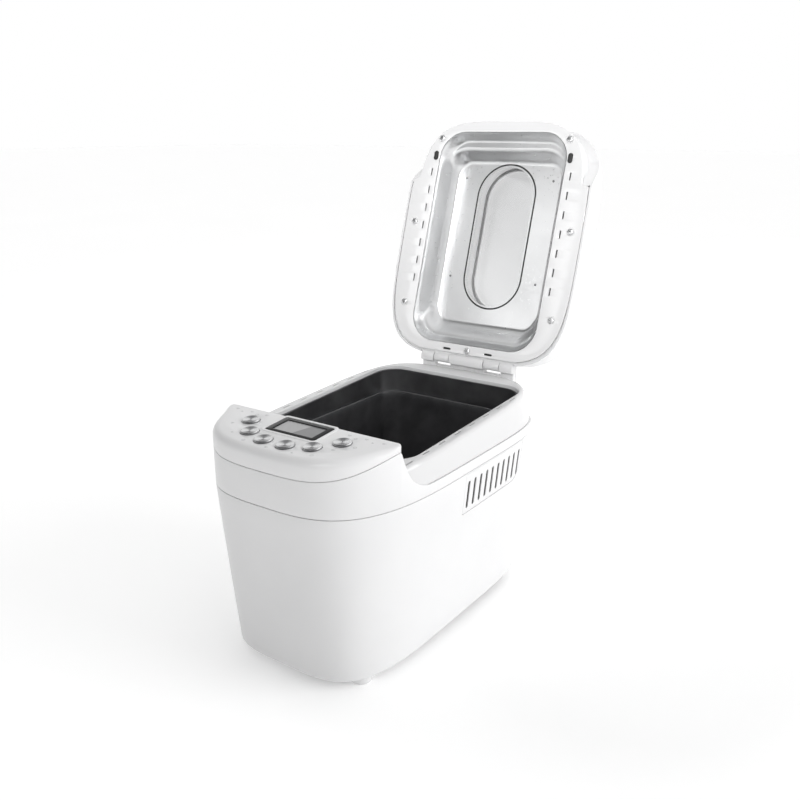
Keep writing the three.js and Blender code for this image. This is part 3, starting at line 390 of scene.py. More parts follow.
def set_inputs(node, **values):
    """Sets a node's inputs; an underscore in a name stands for a space."""
    for name, value in values.items():
        node.inputs[name.replace("_", " ")].default_value = value


def noise(tree, scale, detail=4.0, stretch=(1, 1, 1), rough=0.55):
    coord = tree.nodes.new("ShaderNodeTexCoord")
    mapping = tree.nodes.new("ShaderNodeMapping")
    tex = tree.nodes.new("ShaderNodeTexNoise")
    set_inputs(mapping, Scale=stretch)
    set_inputs(tex, Scale=scale, Detail=detail, Roughness=rough)
    tree.links.new(coord.outputs["Object"], mapping.inputs["Vector"])
    tree.links.new(mapping.outputs["Vector"], tex.inputs["Vector"])
    return tex.outputs["Fac"]


def spread(tree, value, low, high, start=0.3, end=0.7):
    """Maps a value from start..end to low..high."""
    node = tree.nodes.new("ShaderNodeMapRange")
    set_inputs(node, From_Min=start, From_Max=end, To_Min=low, To_Max=high)
    tree.links.new(value, node.inputs["Value"])
    return node.outputs["Result"]


def two_tone(tree, value, dark, light):
    node = tree.nodes.new("ShaderNodeMix")
    node.data_type = "RGBA"
    set_inputs(node, A=(*dark, 1), B=(*light, 1))
    tree.links.new(value, node.inputs["Factor"])
    return node.outputs["Result"]


def bump(tree, shader, height, strength, distance):
    node = tree.nodes.new("ShaderNodeBump")
    set_inputs(node, Strength=strength, Distance=distance * MM)
    tree.links.new(height, node.inputs["Height"])
    tree.links.new(node.outputs["Normal"], shader.inputs["Normal"])


def math_node(tree, operation, *values):
    """Math node whose inputs are numbers or the outputs of other nodes."""
    node = tree.nodes.new("ShaderNodeMath")
    node.operation = operation
    for socket, value in zip(node.inputs, values):
        if isinstance(value, float):
            socket.default_value = value
        else:
            tree.links.new(value, socket)
    return node.outputs["Value"]


def vector_node(tree, operation, source, target=None):
    """Value of a vector operation on an output and a fixed vector."""
    node = tree.nodes.new("ShaderNodeVectorMath")
    node.operation = operation
    tree.links.new(source, node.inputs[0])
    if target is not None:
        node.inputs[1].default_value = target
    return node.outputs["Value"]


def coordinates(tree, kind="Object"):
    """A texture coordinate, and its X, Y and Z."""
    coord = tree.nodes.new("ShaderNodeTexCoord").outputs[kind]
    split = tree.nodes.new("ShaderNodeSeparateXYZ")
    tree.links.new(coord, split.inputs["Vector"])
    return coord, split.outputs


# ------------------------------------------------------------ materials
def surface(name, dark, light, rough, metallic=0.0, grain=900.0, depth=0.02, strength=0.25, patch=14.0,
            stretch=(1, 1, 1), coat=0.0, coat_rough=0.05, anisotropy=0.0, specular=0.5, glow=0.0):
    """Moulded, coated or metal surface: broad changes of tone, fine grain in roughness and relief, and a glow
    that is painted light.
    """
    mat, tree, shader = node_material(name)
    set_inputs(shader, Metallic=metallic, Coat_Weight=coat, Coat_Roughness=coat_rough, Anisotropic=anisotropy,
               Specular_IOR_Level=specular, Emission_Color=(1, 1, 1, 1), Emission_Strength=glow)
    tone = spread(tree, noise(tree, patch, 3.0), 0.0, 1.0)
    tree.links.new(two_tone(tree, tone, dark, light), shader.inputs["Base Color"])
    fine = noise(tree, grain, 5.0, stretch)
    tree.links.new(spread(tree, fine, *rough), shader.inputs["Roughness"])
    bump(tree, shader, fine, strength, depth)
    return mat


def circular_grooves(tree, axes):
    """Noise that changes only with the distance from the piece's own axis."""
    flat = tree.nodes.new("ShaderNodeCombineXYZ")
    tree.links.new(axes["X"], flat.inputs["X"])
    tree.links.new(axes["Y"], flat.inputs["Y"])
    ring = tree.nodes.new("ShaderNodeTexNoise")
    ring.noise_dimensions = "1D"
    set_inputs(ring, Scale=5200.0, Detail=3.0)
    tree.links.new(vector_node(tree, "LENGTH", flat.outputs["Vector"]), ring.inputs["W"])
    return ring.outputs["Fac"]


def painted_highlight_wedges(tree, axes):
    """Two opposite pale wedges painted into the colour: painted highlights, as light makes on a turned face.
    """
    angle = math_node(tree, "ARCTAN2", axes["Y"], axes["X"])
    wave = math_node(tree, "COSINE", math_node(tree, "MULTIPLY_ADD", angle, 2.0, -1.1))
    return two_tone(tree, spread(tree, wave, 0.0, 1.0, -0.9, 0.9), (0.2, 0.2, 0.205), (0.82, 0.825, 0.83))


def multiplied(tree, first, second):
    blend = tree.nodes.new("ShaderNodeMix")
    blend.data_type = "RGBA"
    blend.blend_type = "MULTIPLY"
    set_inputs(blend, Factor=1.0)
    tree.links.new(first, blend.inputs["A"])
    tree.links.new(second, blend.inputs["B"])
    return blend.outputs["Result"]


def spun_metal():
    """Turned faces: fine circular grooves about the piece's own axis, and two painted highlight wedges in the
    colour.
    """
    mat, tree, shader = node_material("spun_steel_face")
    set_inputs(shader, Metallic=1.0, Anisotropic=0.85)
    tangent = tree.nodes.new("ShaderNodeTangent")
    tangent.direction_type = "RADIAL"
    tangent.axis = "Z"
    tree.links.new(tangent.outputs["Tangent"], shader.inputs["Tangent"])
    axes = coordinates(tree)[1]
    ring = circular_grooves(tree, axes)
    grooves = two_tone(tree, ring, (0.72, 0.72, 0.72), (1, 1, 1))
    # The colour carries the painted highlight wedges, multiplied by the grooves.
    tree.links.new(multiplied(tree, painted_highlight_wedges(tree, axes), grooves), shader.inputs["Base Color"])
    tree.links.new(spread(tree, ring, 0.2, 0.34), shader.inputs["Roughness"])
    bump(tree, shader, ring, 0.3, 0.01)
    return mat


def window_glass():
    """Clear glass with a slight, uneven tint."""
    mat, tree, shader = node_material("clear_window_glass")
    set_inputs(shader, Transmission_Weight=1.0, IOR=1.45)
    tint = two_tone(tree, noise(tree, 9.0, 2.0), (0.70, 0.702, 0.705), (0.90, 0.902, 0.905))
    tree.links.new(tint, shader.inputs["Base Color"])
    tree.links.new(spread(tree, noise(tree, 60.0), 0.01, 0.05), shader.inputs["Roughness"])
    return mat


def display_screen():
    """Grey screen with a paler slanted band, a painted reflection of glare."""
    mat, tree, shader = node_material("display_screen_face")
    axes = coordinates(tree)[1]
    slant = math_node(tree, "MULTIPLY_ADD", axes["Y"], -0.35, axes["X"])
    # Painted reflection: a paler slanted band of glare across the screen.
    painted_glare = spread(tree, slant, 0.0, 1.0, 0.0018, 0.0022)
    grey = two_tone(tree, painted_glare, (0.36, 0.36, 0.365), (0.19, 0.19, 0.195))
    tree.links.new(grey, shader.inputs["Base Color"])
    tree.links.new(spread(tree, noise(tree, 4000.0, 2.0), 0.18, 0.26), shader.inputs["Roughness"])
    return mat


GLOSSY = dict(grain=700.0, depth=0.01, strength=0.05, patch=8.0, coat=0.5, coat_rough=0.04)
MATERIALS = {
    "white": surface("white_plastic_satin", (0.705, 0.705, 0.71), (0.735, 0.735, 0.738), (0.27, 0.36),
                     grain=1500.0, depth=0.012, strength=0.12, patch=9.0, coat=0.15, coat_rough=0.2),
    "gloss": surface("white_plastic_gloss", (0.745, 0.745, 0.75), (0.775, 0.775, 0.778), (0.08, 0.13),
                     **GLOSSY),
    # The deck's gloss white is a darker copy of the liner's gloss white: painted shade.
    "deck": surface("white_plastic_gloss_deck_painted_shade", (0.61, 0.61, 0.615), (0.64, 0.64, 0.643), (0.08, 0.13),
                    **GLOSSY),
    # The tunnel's white plastic glows: painted light, for the light that the window panes keep from it.
    "tunnel": surface("white_plastic_painted_glow", (0.86, 0.86, 0.862), (0.9, 0.9, 0.902), (0.3, 0.4),
                      grain=1500.0, strength=0.1, glow=0.35),
    "grey": surface("grey_plastic", (0.15, 0.155, 0.165), (0.2, 0.205, 0.215), (0.42, 0.55), strength=0.3),
    "black_gloss": surface("black_plastic_gloss", (0.005, 0.005, 0.006), (0.01, 0.01, 0.011), (0.14, 0.2),
                           strength=0.03, specular=0.12),
    # Black rubber for the seal and pads, also used for the dark pieces of painted shade behind slots.
    "rubber": surface("black_rubber", (0.012, 0.012, 0.012), (0.03, 0.03, 0.03), (0.55, 0.72),
                      grain=1200.0, strength=0.4),
    "steel": surface("drawn_stainless_steel", (0.70, 0.705, 0.71), (0.80, 0.805, 0.81), (0.27, 0.36),
                     metallic=1.0, grain=420.0, stretch=(1, 0.12, 1), strength=0.08, depth=0.01,
                     anisotropy=0.3),
    "plated": surface("zinc_plated_steel", (0.62, 0.625, 0.63), (0.76, 0.765, 0.77), (0.28, 0.42),
                      metallic=1.0, grain=260.0, patch=30.0, strength=0.12),
    "chamber": surface("dark_oven_steel", (0.10, 0.10, 0.105), (0.17, 0.17, 0.175), (0.3, 0.45),
                       metallic=0.9, grain=300.0, patch=22.0, strength=0.12),
    "nonstick": surface("dark_nonstick", (0.03, 0.03, 0.032), (0.055, 0.055, 0.058), (0.3, 0.42),
                        metallic=0.3, grain=2200.0, patch=40.0, strength=0.35),
    "board": surface("green_circuit_board", (0.02, 0.09, 0.05), (0.04, 0.14, 0.075), (0.3, 0.45),
                     grain=500.0),
    "mark": surface("pale_grey_print", (0.40, 0.405, 0.41), (0.46, 0.465, 0.47), (0.4, 0.5)),
    "spun": spun_metal(),
    "glass": window_glass(),
    "screen": display_screen(),
}
CAD_MATERIALS = {
    "grey": ("base_plate", "large_pulley"),
    "board": ("control_board", "power_board"),
    "rubber": ("drive_belt", "cord_gland"),
    "steel": ("heating_element",),
    "screen": ("display_module",),
    "plated": ("temperature_sensor", "pan_seat", "drive_bearing", "drive_shaft", "motor_pulley", "motor",
               "motor_bracket", "pan_shaft"),
}


def dress(mesh, material):
    mesh.materials.clear()
    mesh.materials.append(MATERIALS[material])


def finish_piece(obj, material, body, nodes=(), angle=35.0):
    """Gives a piece its material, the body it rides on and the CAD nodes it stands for."""
    dress(obj.data, material)
    smooth(obj, angle)
    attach(obj, body)
    if nodes:
        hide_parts(*nodes)
    return obj


# ------------------------------------------------------------ camera, light and floor
def make_camera():
    az, el = CAMERA_AZIMUTH, CAMERA_ELEVATION
    back = Vector((math.sin(az) * math.cos(el), -math.cos(az) * math.cos(el), math.sin(el)))
    right = Vector((math.cos(az), math.sin(az), 0.0))
    data = bpy.data.cameras.new("camera")
    data.sensor_width = SENSOR_WIDTH
    data.lens = LENS
    cam = add_object("camera", data)
    rotation = Matrix((right, back.cross(right), back)).transposed().to_4x4()
    cam.matrix_world = Matrix.Translation(at(*CAMERA_PLACE)) @ rotation
    bpy.context.scene.camera = cam


def area_light(name, place, aim, size, watts, beam=180.0):
    """Soft box, placed in metres; a small beam angle stands for a honeycomb grid in front of it."""
    data = bpy.data.lights.new(name, "AREA")
    data.shape = "RECTANGLE"
    data.size, data.size_y = size
    data.energy = watts
    data.spread = math.radians(beam)
    obj = add_object(name, data)
    obj.location = place
    obj.rotation_euler = (Vector(aim) - Vector(place)).to_track_quat("-Z", "Y").to_euler()
    obj.visible_camera = False


def make_world():
    """White studio surround, darker above the horizon at the front left."""
    world = bpy.data.worlds.new("studio")
    bpy.context.scene.world = world
    world.use_nodes = True
    tree = world.node_tree
    coord, axes = coordinates(tree, "Generated")
    front_left = Vector((-0.42, -0.88, 0.05)).normalized()
    shade = spread(tree, vector_node(tree, "DOT_PRODUCT", coord, front_left), 0.0, -0.92, 0.0, 0.66)
    above_horizon = spread(tree, axes["Z"], 0.0, 1.0, 0.10, 0.22)
    strength = math_node(tree, "MULTIPLY_ADD", shade, above_horizon, 1.0)
    background = tree.nodes["Background"]
    tree.links.new(strength, background.inputs["Strength"])
    set_inputs(background, Color=(1, 1, 1, 1))


def make_floor():
    """Backlit white table; its glow is painted weaker round the machine's right side, a painted shade where
    the contact shadow shows.
    """
    bpy.ops.mesh.primitive_plane_add(size=40, location=(0, 0, 0))
    floor = bpy.context.object
    floor.name = "studio_floor"
    mat, tree, shader = node_material("pale_floor")
    set_inputs(shader, Roughness=0.9, Specular_IOR_Level=0.1, Emission_Color=(1, 1, 1, 1))
    tone = spread(tree, noise(tree, 2.0, 2.0), 0.0, 1.0)
    tree.links.new(two_tone(tree, tone, (0.93, 0.93, 0.93), (0.95, 0.95, 0.95)), shader.inputs["Base Color"])
    # Glow lowered near the machine: painted shade round it.
    away = vector_node(tree, "DISTANCE", coordinates(tree)[0], (0.25, 0.02, 0.0))
    tree.links.new(spread(tree, away, 0.1, 0.31, 0.16, 0.36), shader.inputs["Emission Strength"])
    floor.data.materials.append(mat)


def make_studio():
    make_world()
    area_light("key_right", (2.1, 0.7, 0.9), (0, 0, 0.2), (1.5, 1.5), 23)
    area_light("lid_light", (0.3, -1.9, 1.6), (0, 0.17, 0.44), (0.5, 0.4), 0.72, beam=22)
    area_light("reflector_light", (-0.36, -0.66, 0.70), (0.02, 0.17, 0.36), (0.4, 0.4), 0.036, beam=35)
    make_floor()
    bpy.context.scene.view_settings.view_transform = "Standard"


# ------------------------------------------------------------ lower housing
BASE_ROUND = 5.0


def shell_rows(levels):
    """Outer rows up and inner rows down, from (z, inset) levels of the outer face."""
    spots = [(z, z, inset) for z, inset in levels]
    spots += [(z, z, WALL) for z in (levels[-1][0], 130.0, 70.0, FLOOR_Z + 6.0)]
    spots += [(FLOOR_Z + WALL, FLOOR_Z, 12.0), (FLOOR_Z, FLOOR_Z, 12.0)]
    return [level(plan_outline(housing_plan(plan_z), inset), z) for z, plan_z, inset in spots]


def vent_outline(grow):
    """Vent opening as (y, z) points, its lower rear corner with a large radius."""
    y0, y1, z0, z1 = VENT_Y0 - grow, VENT_Y1 + grow, VENT_Z0 - grow, VENT_Z1 + grow
    small, large, cut = 3.0, 20.0, 1.0
    pts = line((y0 + small, z0), (y1 - large, z0), 24)
    pts += arc(y1 - large, z0 + large, large, -90, 0, 10)
    pts += [(y1, z1 - cut)] + line((y1 - cut, z1), (y0 + cut, z1), 24)
    pts += [(y0 + cut, z1), (y0, z1 - cut)]
    return pts + arc(y0 + small, z0 + small, small, 180, 270, 4)[:-1]


def side_x(y, z):
    """Half width of the housing at a point of its side wall."""
    p = housing_plan(z)
    b, e = (p["bf"], p["nf"]) if y < 0 else (p["br"], p["nr"])
    return p["a"] * (1 - abs(y / b) ** e) ** (1 / e)


def on_side(side, depth):
    """Maps a plate's y, z and height to the housing's side wall, sunk by a depth."""
    return lambda y, z, height: at(side * (side_x(y, z) - depth + height), y, z)


def make_lower_housing():
    levels = arc(FLOOR_Z + BASE_ROUND, BASE_ROUND, BASE_ROUND, -180, -90, 7)
    levels += [(z, 0.0) for z in (20, 50, 80, 110, 140, 165, PARTING_Z - 1.0)]
    levels += [(PARTING_Z - 0.55, 0.12), (PARTING_Z - 0.25, 0.5)]
    obj = rows_object("lower_housing_skin", shell_rows(levels), loop=True)
    cutters = [prism_object("vent_cut", vent_outline(0.35), x0, x1) for x0, x1 in ((85, 130), (-130, -85))]
    cutters += [drill(11.5, -10, 13, (x, y, 0)) for x, y in sorted(FEET.values())]
    cutters.append(drill(6.4, -20, 20, CORD_OUTLET, "X"))
    carve(obj, cutters)
    finish_piece(obj, "white", "housing", ["lower_housing"], 30)


def filled_curve(name, outlines, thickness, bevel):
    """Flat curve filled between its outlines, with rounded edges."""
    curve = bpy.data.curves.new(name, "CURVE")
    curve.dimensions = "2D"
    curve.fill_mode = "BOTH"
    curve.extrude = (thickness / 2 - bevel) * MM
    curve.bevel_depth = bevel * MM
    curve.bevel_resolution = 2
    curve.offset = -bevel * MM
    for pts in outlines:
        spline = curve.splines.new("POLY")
        spline.points.add(len(pts) - 1)
        spline.use_cyclic_u = True
        for point, (x, y) in zip(spline.points, pts):
            point.co = (x * MM, y * MM, 0, 1)
    return add_object(name, curve)


def flat_with_holes(name, outline, holes, thickness, bevel, place):
    """Plate with holes and softly rounded edges; place maps plate x, y and height to the machine."""
    source = filled_curve(name, [outline] + holes, thickness, bevel)
    mesh = evaluated_mesh(source)
    bpy.data.objects.remove(source)
    for v in mesh.vertices:
        v.co = place(v.co.x / MM, v.co.y / MM, v.co.z / MM)
    edit_mesh(mesh, weld, face_outward)
    return add_object(name, mesh)


def make_vents():
    """Vent inserts with their upright slots, and dark sheets behind them: painted shade seen through the
    slots.
    """
    slots = [slot_outline(VENT_SLOT_Y + VENT_SLOT_PITCH * i, VENT_SLOT_Z, 2.1, 15.0)
             for i in range(VENT_SLOTS)]
    for side, name in ((1, "right"), (-1, "left")):
        insert = vent_outline(0.0)
        grille = flat_with_holes(f"vent_insert_{name}", insert, slots, 1.4, 0.3, on_side(side, 0.7))
        finish_piece(grille, "white", "housing", [f"vent_grille_{name}"], 40)
        # Dark sheet behind the slots: painted shade.
        shade = flat_with_holes(f"vent_shade_{name}", vent_outline(-1.5), [], 0.6, 0.1, on_side(side, 3.2))
        finish_piece(shade, "rubber", "housing", [], 40)


# ------------------------------------------------------------ collar and deck
def collar_top(y):
    """Height of the collar's edge: the flat ledge, and in front of it just under the panel's seam."""
    if y > -70:
        return LEDGE_Z
    return min(height_at(STEP_CURVE, y), height_at(SEAM_CURVE, y) - 0.2)


def collar_rows(n=720):
    foot = PARTING_Z + 0.25
    outer, inner = plan_outline(TOP_PLAN, 0.0, n), plan_outline(TOP_PLAN, WALL, n)
    rows = [level(between(outer, inner, inset / WALL), foot + rise)
            for rise, inset in ((0.0, 0.5), (0.3, 0.12), (0.8, 0.0))]
    for drop, inset in ((0.9, 0.0), (0.35, 0.12), (0.08, 0.35), (0.0, 0.7), (0.0, 2.2), (0.6, WALL)):
        drawn_in = between(outer, inner, inset / WALL)
        rows.append([at(*spot, collar_top(edge[1]) - drop) for spot, edge in zip(drawn_in, outer)])
    return rows + [level(inner, foot)]


def make_collar():
    """Band between the two seams, and the grey lip that centres it in the lower housing."""
    obj = rows_object("collar_band", collar_rows(), loop=True)
    finish_piece(obj, "white", "housing", ["upper_collar"], 30)
    plan = housing_plan(PARTING_Z)
    lip = [level(plan_outline(plan, inset, 240), z)
           for z, inset in ((176.0, 3.1), (184.0, 3.1), (184.0, 4.9), (176.0, 4.9))]
    spigot = rows_object("collar_spigot", lip, loop=True)
    finish_piece(spigot, "grey", "housing", [], 30)


def deck_rows(n=480):
    """Closed skin of the deck: wall, rounded edge, top, oven edge, inner face and underside."""
    foot, top = plan_outline(DECK_FOOT, 0, n), plan_outline(DECK_TOP, 0, n)
    hole, hole_out = oven_outline(0.0, n), oven_outline(1.7, n)
    foot_z = LEDGE_Z + 0.3
    rows = [level(plan_outline(DECK_FOOT, 0.4, n), foot_z), level(foot, foot_z + 0.5)]
    for f in (0.2, 0.45, 0.7, 0.9):
        rows.append(level(between(foot, top, f), lambda y: foot_z + (deck_z(y, 5.0) - foot_z) * f))
    for drop, inset in arc(DECK_ROUND, DECK_ROUND, DECK_ROUND, 270, 180, 5):
        rows.append(level(plan_outline(DECK_TOP, inset, n), below_deck(drop)))
    for deg in (0, 30, 60, 90):
        c, s = math.cos(math.radians(deg)), math.sin(math.radians(deg))
        rows.append(level(between(hole, hole_out, 0.82 * (1 - s)), below_deck(1.4 * (1 - c))))
    underside = plan_outline(DECK_TOP, DECK_ROUND, n)
    for outline, drop in ((hole, 12.0), (hole_out, 12.0), (hole_out, 2.5), (underside, 2.5)):
        rows.append(level(outline, below_deck(drop)))
    rows.append(level(plan_outline(DECK_TOP, 2.5, n), below_deck(7.0)))
    return rows + [level(plan_outline(DECK_FOOT, 2.6, n), foot_z)]


def deck_cutters():
    """The front, where the panel steps down to the ledge, and the slots along both sides."""
    front = [(y + 0.9, z) for y, z in STEP_CURVE]
    region = [(-190, 185), (-190, 252)] + front + [(front[-1][0], 185)]
    cutters = [prism_object("side_cut", region, x0, x1) for x0, x1 in ((98.5, 130), (-130, -98.5))]
    front_region = [(-190, 185), (-112, 185), (-112, 252), (-190, 252)]
    cutters.append(prism_object("front_cut", front_region, -98.6, 98.6))
    for side in (-1, 1):
        for i in range(DECK_SLOTS):
            y = DECK_SLOT_Y + DECK_SLOT_PITCH * i
            outline = slot_outline(side * DECK_SLOT_X, y, 0.8, 5.6, 4)
            cutters.append(prism_object("deck_slot", outline, deck_z(y, 4.0), deck_z(y, -3.0), axis="Z"))
    return cutters


def make_deck():
    obj = carve(rows_object("deck_surround", deck_rows(), loop=True), deck_cutters())
    finish_piece(obj, "deck", "housing", ["deck"], 30)
    # Dark strips under the deck's slots: painted shade, seen through the slots.
    section = [(y, deck_z(y, drop)) for y, drop in ((-95.0, 3.2), (115.0, 3.2), (115.0, 2.7), (-95.0, 2.7))]
    for side, name in ((-1, "left"), (1, "right")):
        x = side * DECK_SLOT_X
        strip = prism_object(f"deck_slot_shade_{name}", section, x - 1.1, x + 1.1)
        finish_piece(strip, "rubber", "housing", [])


# ------------------------------------------------------------ control panel
PANEL_REAR_HALF, PANEL_CORNER_X, PANEL_CORNER_Y = 97.0, 102.9, -110.6


def panel_outline(n=420):
    """Front of the body's plan, closed by the panel's rear edge with rounded corners."""
    front = [p for p in plan_outline(TOP_PLAN, 0.0, 2400) if p[1] < PANEL_CORNER_Y]
    front.sort(key=lambda p: math.atan2(p[0], -p[1] - 60))
    rear = PANEL_REAR_Y - 0.2

    def corner(start, side):
        end, control = (side * PANEL_REAR_HALF, rear), (side * PANEL_CORNER_X, rear)
        points = []
        for t in (i / 16 for i in range(1, 17)):
            along = between([start], [control], t) + between([control], [end], t)
            points += between(along[:1], along[1:], t)
        return points
    edge = line((PANEL_REAR_HALF, rear), (-PANEL_REAR_HALF, rear), 60)[1:]
    return resample(front + corner(front[-1], 1) + edge + corner(front[0], -1)[::-1], n)


def inward(points):
    """Unit vectors pointing into a counter-clockwise outline."""
    out = []
    for i in range(len(points)):
        p, q = points[i - 1], points[(i + 1) % len(points)]
        dx, dy = q[0] - p[0], q[1] - p[1]
        d = math.hypot(dx, dy)
        out.append((-dy / d, dx / d))
    return out


def on_panel(x, y):
    """Matrix of a frame on the sloping panel, its own Z square to the surface."""
    return Matrix.Translation(at(x, y, panel_z(y))) @ Matrix.Rotation(PANEL_ANGLE, 4, "X")


def panel_foot(x, y):
    """Height of the panel's lower edge: just above the deck, or above the seam and the step."""
    if y > -105.2 and abs(x) < 98.4:
        return deck_z(y, -0.5)
    return min(height_at(SEAM_CURVE, y), height_at(STEP_CURVE, y)) + 0.2


def panel_rows(steps=10):
    """Closed skin of the cap: ceiling, inner wall, seam edge, outer wall and the rounded top edge."""
    outline = panel_outline()
    normals = inward(outline)
    radii = [PANEL_ROUND + (1.8 - PANEL_ROUND) * smoothstep(-128.0, -106.0, y) for _, y in outline]

    def row(inset_of, height_of):
        points = []
        for (x, y), (nx, ny), r in zip(outline, normals, radii):
            px, py = x + nx * inset_of(r), y + ny * inset_of(r)
            points.append(at(px, py, height_of(py, r, panel_foot(x, y))))
        return points
    rows = [row(lambda r: 2.4 + 0.5 * r, lambda y, r, foot: panel_z(y, 3.0)),
            row(lambda r: 2.4, lambda y, r, foot: panel_z(y, 3.0 + 0.6 * r)),
            row(lambda r: 2.4, lambda y, r, foot: foot)]
    for rise, d in ((0.0, 0.5), (0.25, 0.15), (0.7, 0.0)):
        rows.append(row(lambda r: d, lambda y, r, foot: foot + rise))
    for k in range(steps + 1):
        t = math.pi / 2 * k / steps
        rows.append(row(lambda r: r * (1 - math.cos(t)),
                        lambda y, r, foot: panel_z(y, r * (1 - math.sin(t)))))
    return rows


def display_rect(grow, r, n=120):
    x, y = DISPLAY_X + grow, DISPLAY_HALF + grow
    return round_rect(-x, x, -y, y, r, n)


def make_control_panel():
    obj = rows_object("panel_cap", panel_rows(), caps=True)
    cutters = []
    for x, y in BUTTONS.values():
        hole = turned("button_cut", [(9.0, -9), (9.0, -0.5), (9.15, -0.15), (9.5, 0.05), (9.6, 5)], 56)
        cutters.append(onto(hole, on_panel(x, y)))
    opening = slab("display_cut", display_rect(0.0, 3.0, 80), -8, 5)
    carve(obj, cutters + [onto(opening, on_panel(0, DISPLAY_Y))])
    finish_piece(obj, "white", "housing", ["control_panel"], 30)


def frame_rows(outer, inner, levels_out, levels_in):
    """Ring between two outlines: (inset, height) levels of its outer edge up, then of its inner edge down."""
    half_x, half_y = 40, 26
    levels = [(outer, -d, z) for d, z in levels_out] + [(inner, d, z) for d, z in levels_in]
    return [flat_row([(x * (1 + d / half_x), y * (1 + d / half_y)) for x, y in outline], z)
            for outline, d, z in levels]


def make_display():
    """White surround, black bezel and the screen's pane, all on the sloping panel."""
    place = on_panel(0, DISPLAY_Y)
    screen = round_rect(-DISPLAY_X + 6.4, DISPLAY_X - 6.4, -DISPLAY_HALF + 4.8, DISPLAY_HALF - 4.8, 0.6, 120)
    surround = rows_object("display_surround", frame_rows(
        display_rect(3.2, 5.0), display_rect(0.3, 3.2), ((0, -0.4), (0.2, 0.15), (0.6, 0.45), (1.2, 0.6)),
        ((0.6, 0.6), (0.15, 0.5), (0, 0.3), (0, -0.4))), loop=True)
    finish_piece(onto(surround, place), "white", "housing", [], 40)
    bezel = rows_object("display_bezel", frame_rows(
        display_rect(-0.3, 2.8), screen, ((0, -2.4), (0, 0.0), (0.15, 0.2), (0.4, 0.3)),
        ((0.3, 0.3), (0, 0.1), (0, -1.2), (0, -2.4))), loop=True)
    finish_piece(onto(bezel, place), "black_gloss", "housing", ["display_frame"], 40)
    pane = slab("display_pane", screen, -1.9, -0.6)
    finish_piece(onto(pane, place), "screen", "housing", ["display_window"], 40)


def make_buttons():
    profile = [(0.4, -7.8), (2.9, -7.8), (2.9, -5.4), (9.8, -5.4), (9.9, -4.0), (8.6, -3.9)]
    profile += arc(7.7, 0.9, 0.9, 0, 90)
    profile += [(7.0, 1.74), (6.5, 1.5), (4.4, 1.28), (2.2, 1.17), (0.4, 1.15)]
    for name, (x, y) in BUTTONS.items():
        cap = onto(turned(f"button_cap_{name}", profile, 72), on_panel(x, y))
        finish_piece(cap, "spun", f"button_{name}", [f"button_{name}"], 40)


MARK_LOW, MARK_HIGH = -0.05, 0.06


def mark_pieces(kind):
    """Flat pieces of one printed symbol, each with its place up the panel."""
    if kind == "ring":
        outer, inner = circle(0, 0, 1.7), circle(0, 0, 1.25)
        spots = ((outer, MARK_LOW), (outer, MARK_HIGH), (inner, MARK_HIGH), (inner, MARK_LOW))
        return [(rows_object("mark", [flat_row(*spot) for spot in spots], loop=True), 0)]
    if kind == "arrow":
        return [(slab("mark", [(-1.3, -1.04), (1.3, 0), (-1.3, 1.04)], MARK_LOW, MARK_HIGH), 0)]
    return [(slab("mark", box(half, 0.3), MARK_LOW, MARK_HIGH), y) for half, y in ((2.0, 0.8), (1.3, -0.6))]


def make_marks():
    """Generic printed symbols: small rings, bars and arrows beside the buttons and the display."""
    spots = [(70.5, -131.5, "ring"), (56.5, -144.5, "bar"), (47.0, -161.5, "ring"), (29.0, -166.0, "arrow"),
             (0.0, -168.0, "bar"), (-29.0, -166.0, "ring"), (-50.5, -158.0, "arrow"), (-66.5, -142.0, "bar")]
    for side in (-1, 1):
        for i, kind in enumerate(("bar", "ring", "bar", "arrow", "bar")):
            spots.append((side * (50 + 9.5 * i), -113.0 - 3.2 * (i % 2), kind))
    made = [onto(obj, on_panel(x, y + up)) for x, y, kind in spots for obj, up in mark_pieces(kind)]
    finish_piece(merged("panel_marks", made), "mark", "housing", [], 60)


# ------------------------------------------------------------ oven, pan and paddle
def can_rows(size, levels, share, least, n=240):
    """Rows of a can from (inset, height) levels; its corners shrink by a share of the inset."""
    a, y0, y1, r = size
    return [level(round_rect(d - a, a - d, y0 + d, y1 - d, max(least, r - d * share), n), z)
            for d, z in levels]


def make_oven():
    size = (OVEN["x"] - 0.7, OVEN["y0"] + 0.7, OVEN["y1"] - 0.7, OVEN["r"] - 0.7)
    outside = [(26, 52.0), (15, 52.0), (9, 54.5), (5, 58.5), (4, 61.5), (0.6, below_deck(16.0)),
               (0.0, below_deck(6.0)), (-0.2, below_deck(4.4)), (0.3, below_deck(3.9))]
    inside = [(1.1, below_deck(3.9)), (1.6, below_deck(4.5)), (1.5, below_deck(6.0)), (2.0, below_deck(16.0)),
              (5.4, 62.0), (6.4, 59.0), (10, 55.7), (15.5, 53.4), (26, 53.4)]
    obj = rows_object("oven_can", can_rows(size, outside + inside, 0.8, 8.0))
    edit_mesh(obj.data, fill_holes, face_outward)
    cutters = [drill(12.8, 40, 60, DRIVE, segments=48)]
    cutters += [drill(4, -15, 15, (x, size[1], 76), "X", 24) for x in (-14, 14)]
    cutters.append(drill(3.4, -15, 15, (OVEN["x"], 60, 120), "Y", 24))
    carve(obj, cutters)
    finish_piece(obj, "chamber", "housing", ["oven_chamber"], 35)


def make_ear(wall_y, side):
    """Ear on an end wall of the pan, with the hole for its handle."""
    top = PAN["top"]
    ear = [(-9, top - 12), (-9, top - 3), (-7.5, top - 1.4), (7.5, top - 1.4), (9, top - 3), (9, top - 12),
           (5, top - 16), (-5, top - 16)]
    faces = sorted((wall_y + side * 0.4, wall_y + side * 2.4))
    plate = rows_object("ear", [[at(x, y, z) for x, z in ear] for y in faces], caps=True)
    carve(plate, [drill(2.6, -4, 4, (0, wall_y + side * 1.7, top - 9), "X", 24)])
    return round_edges(plate, 0.4, 2)


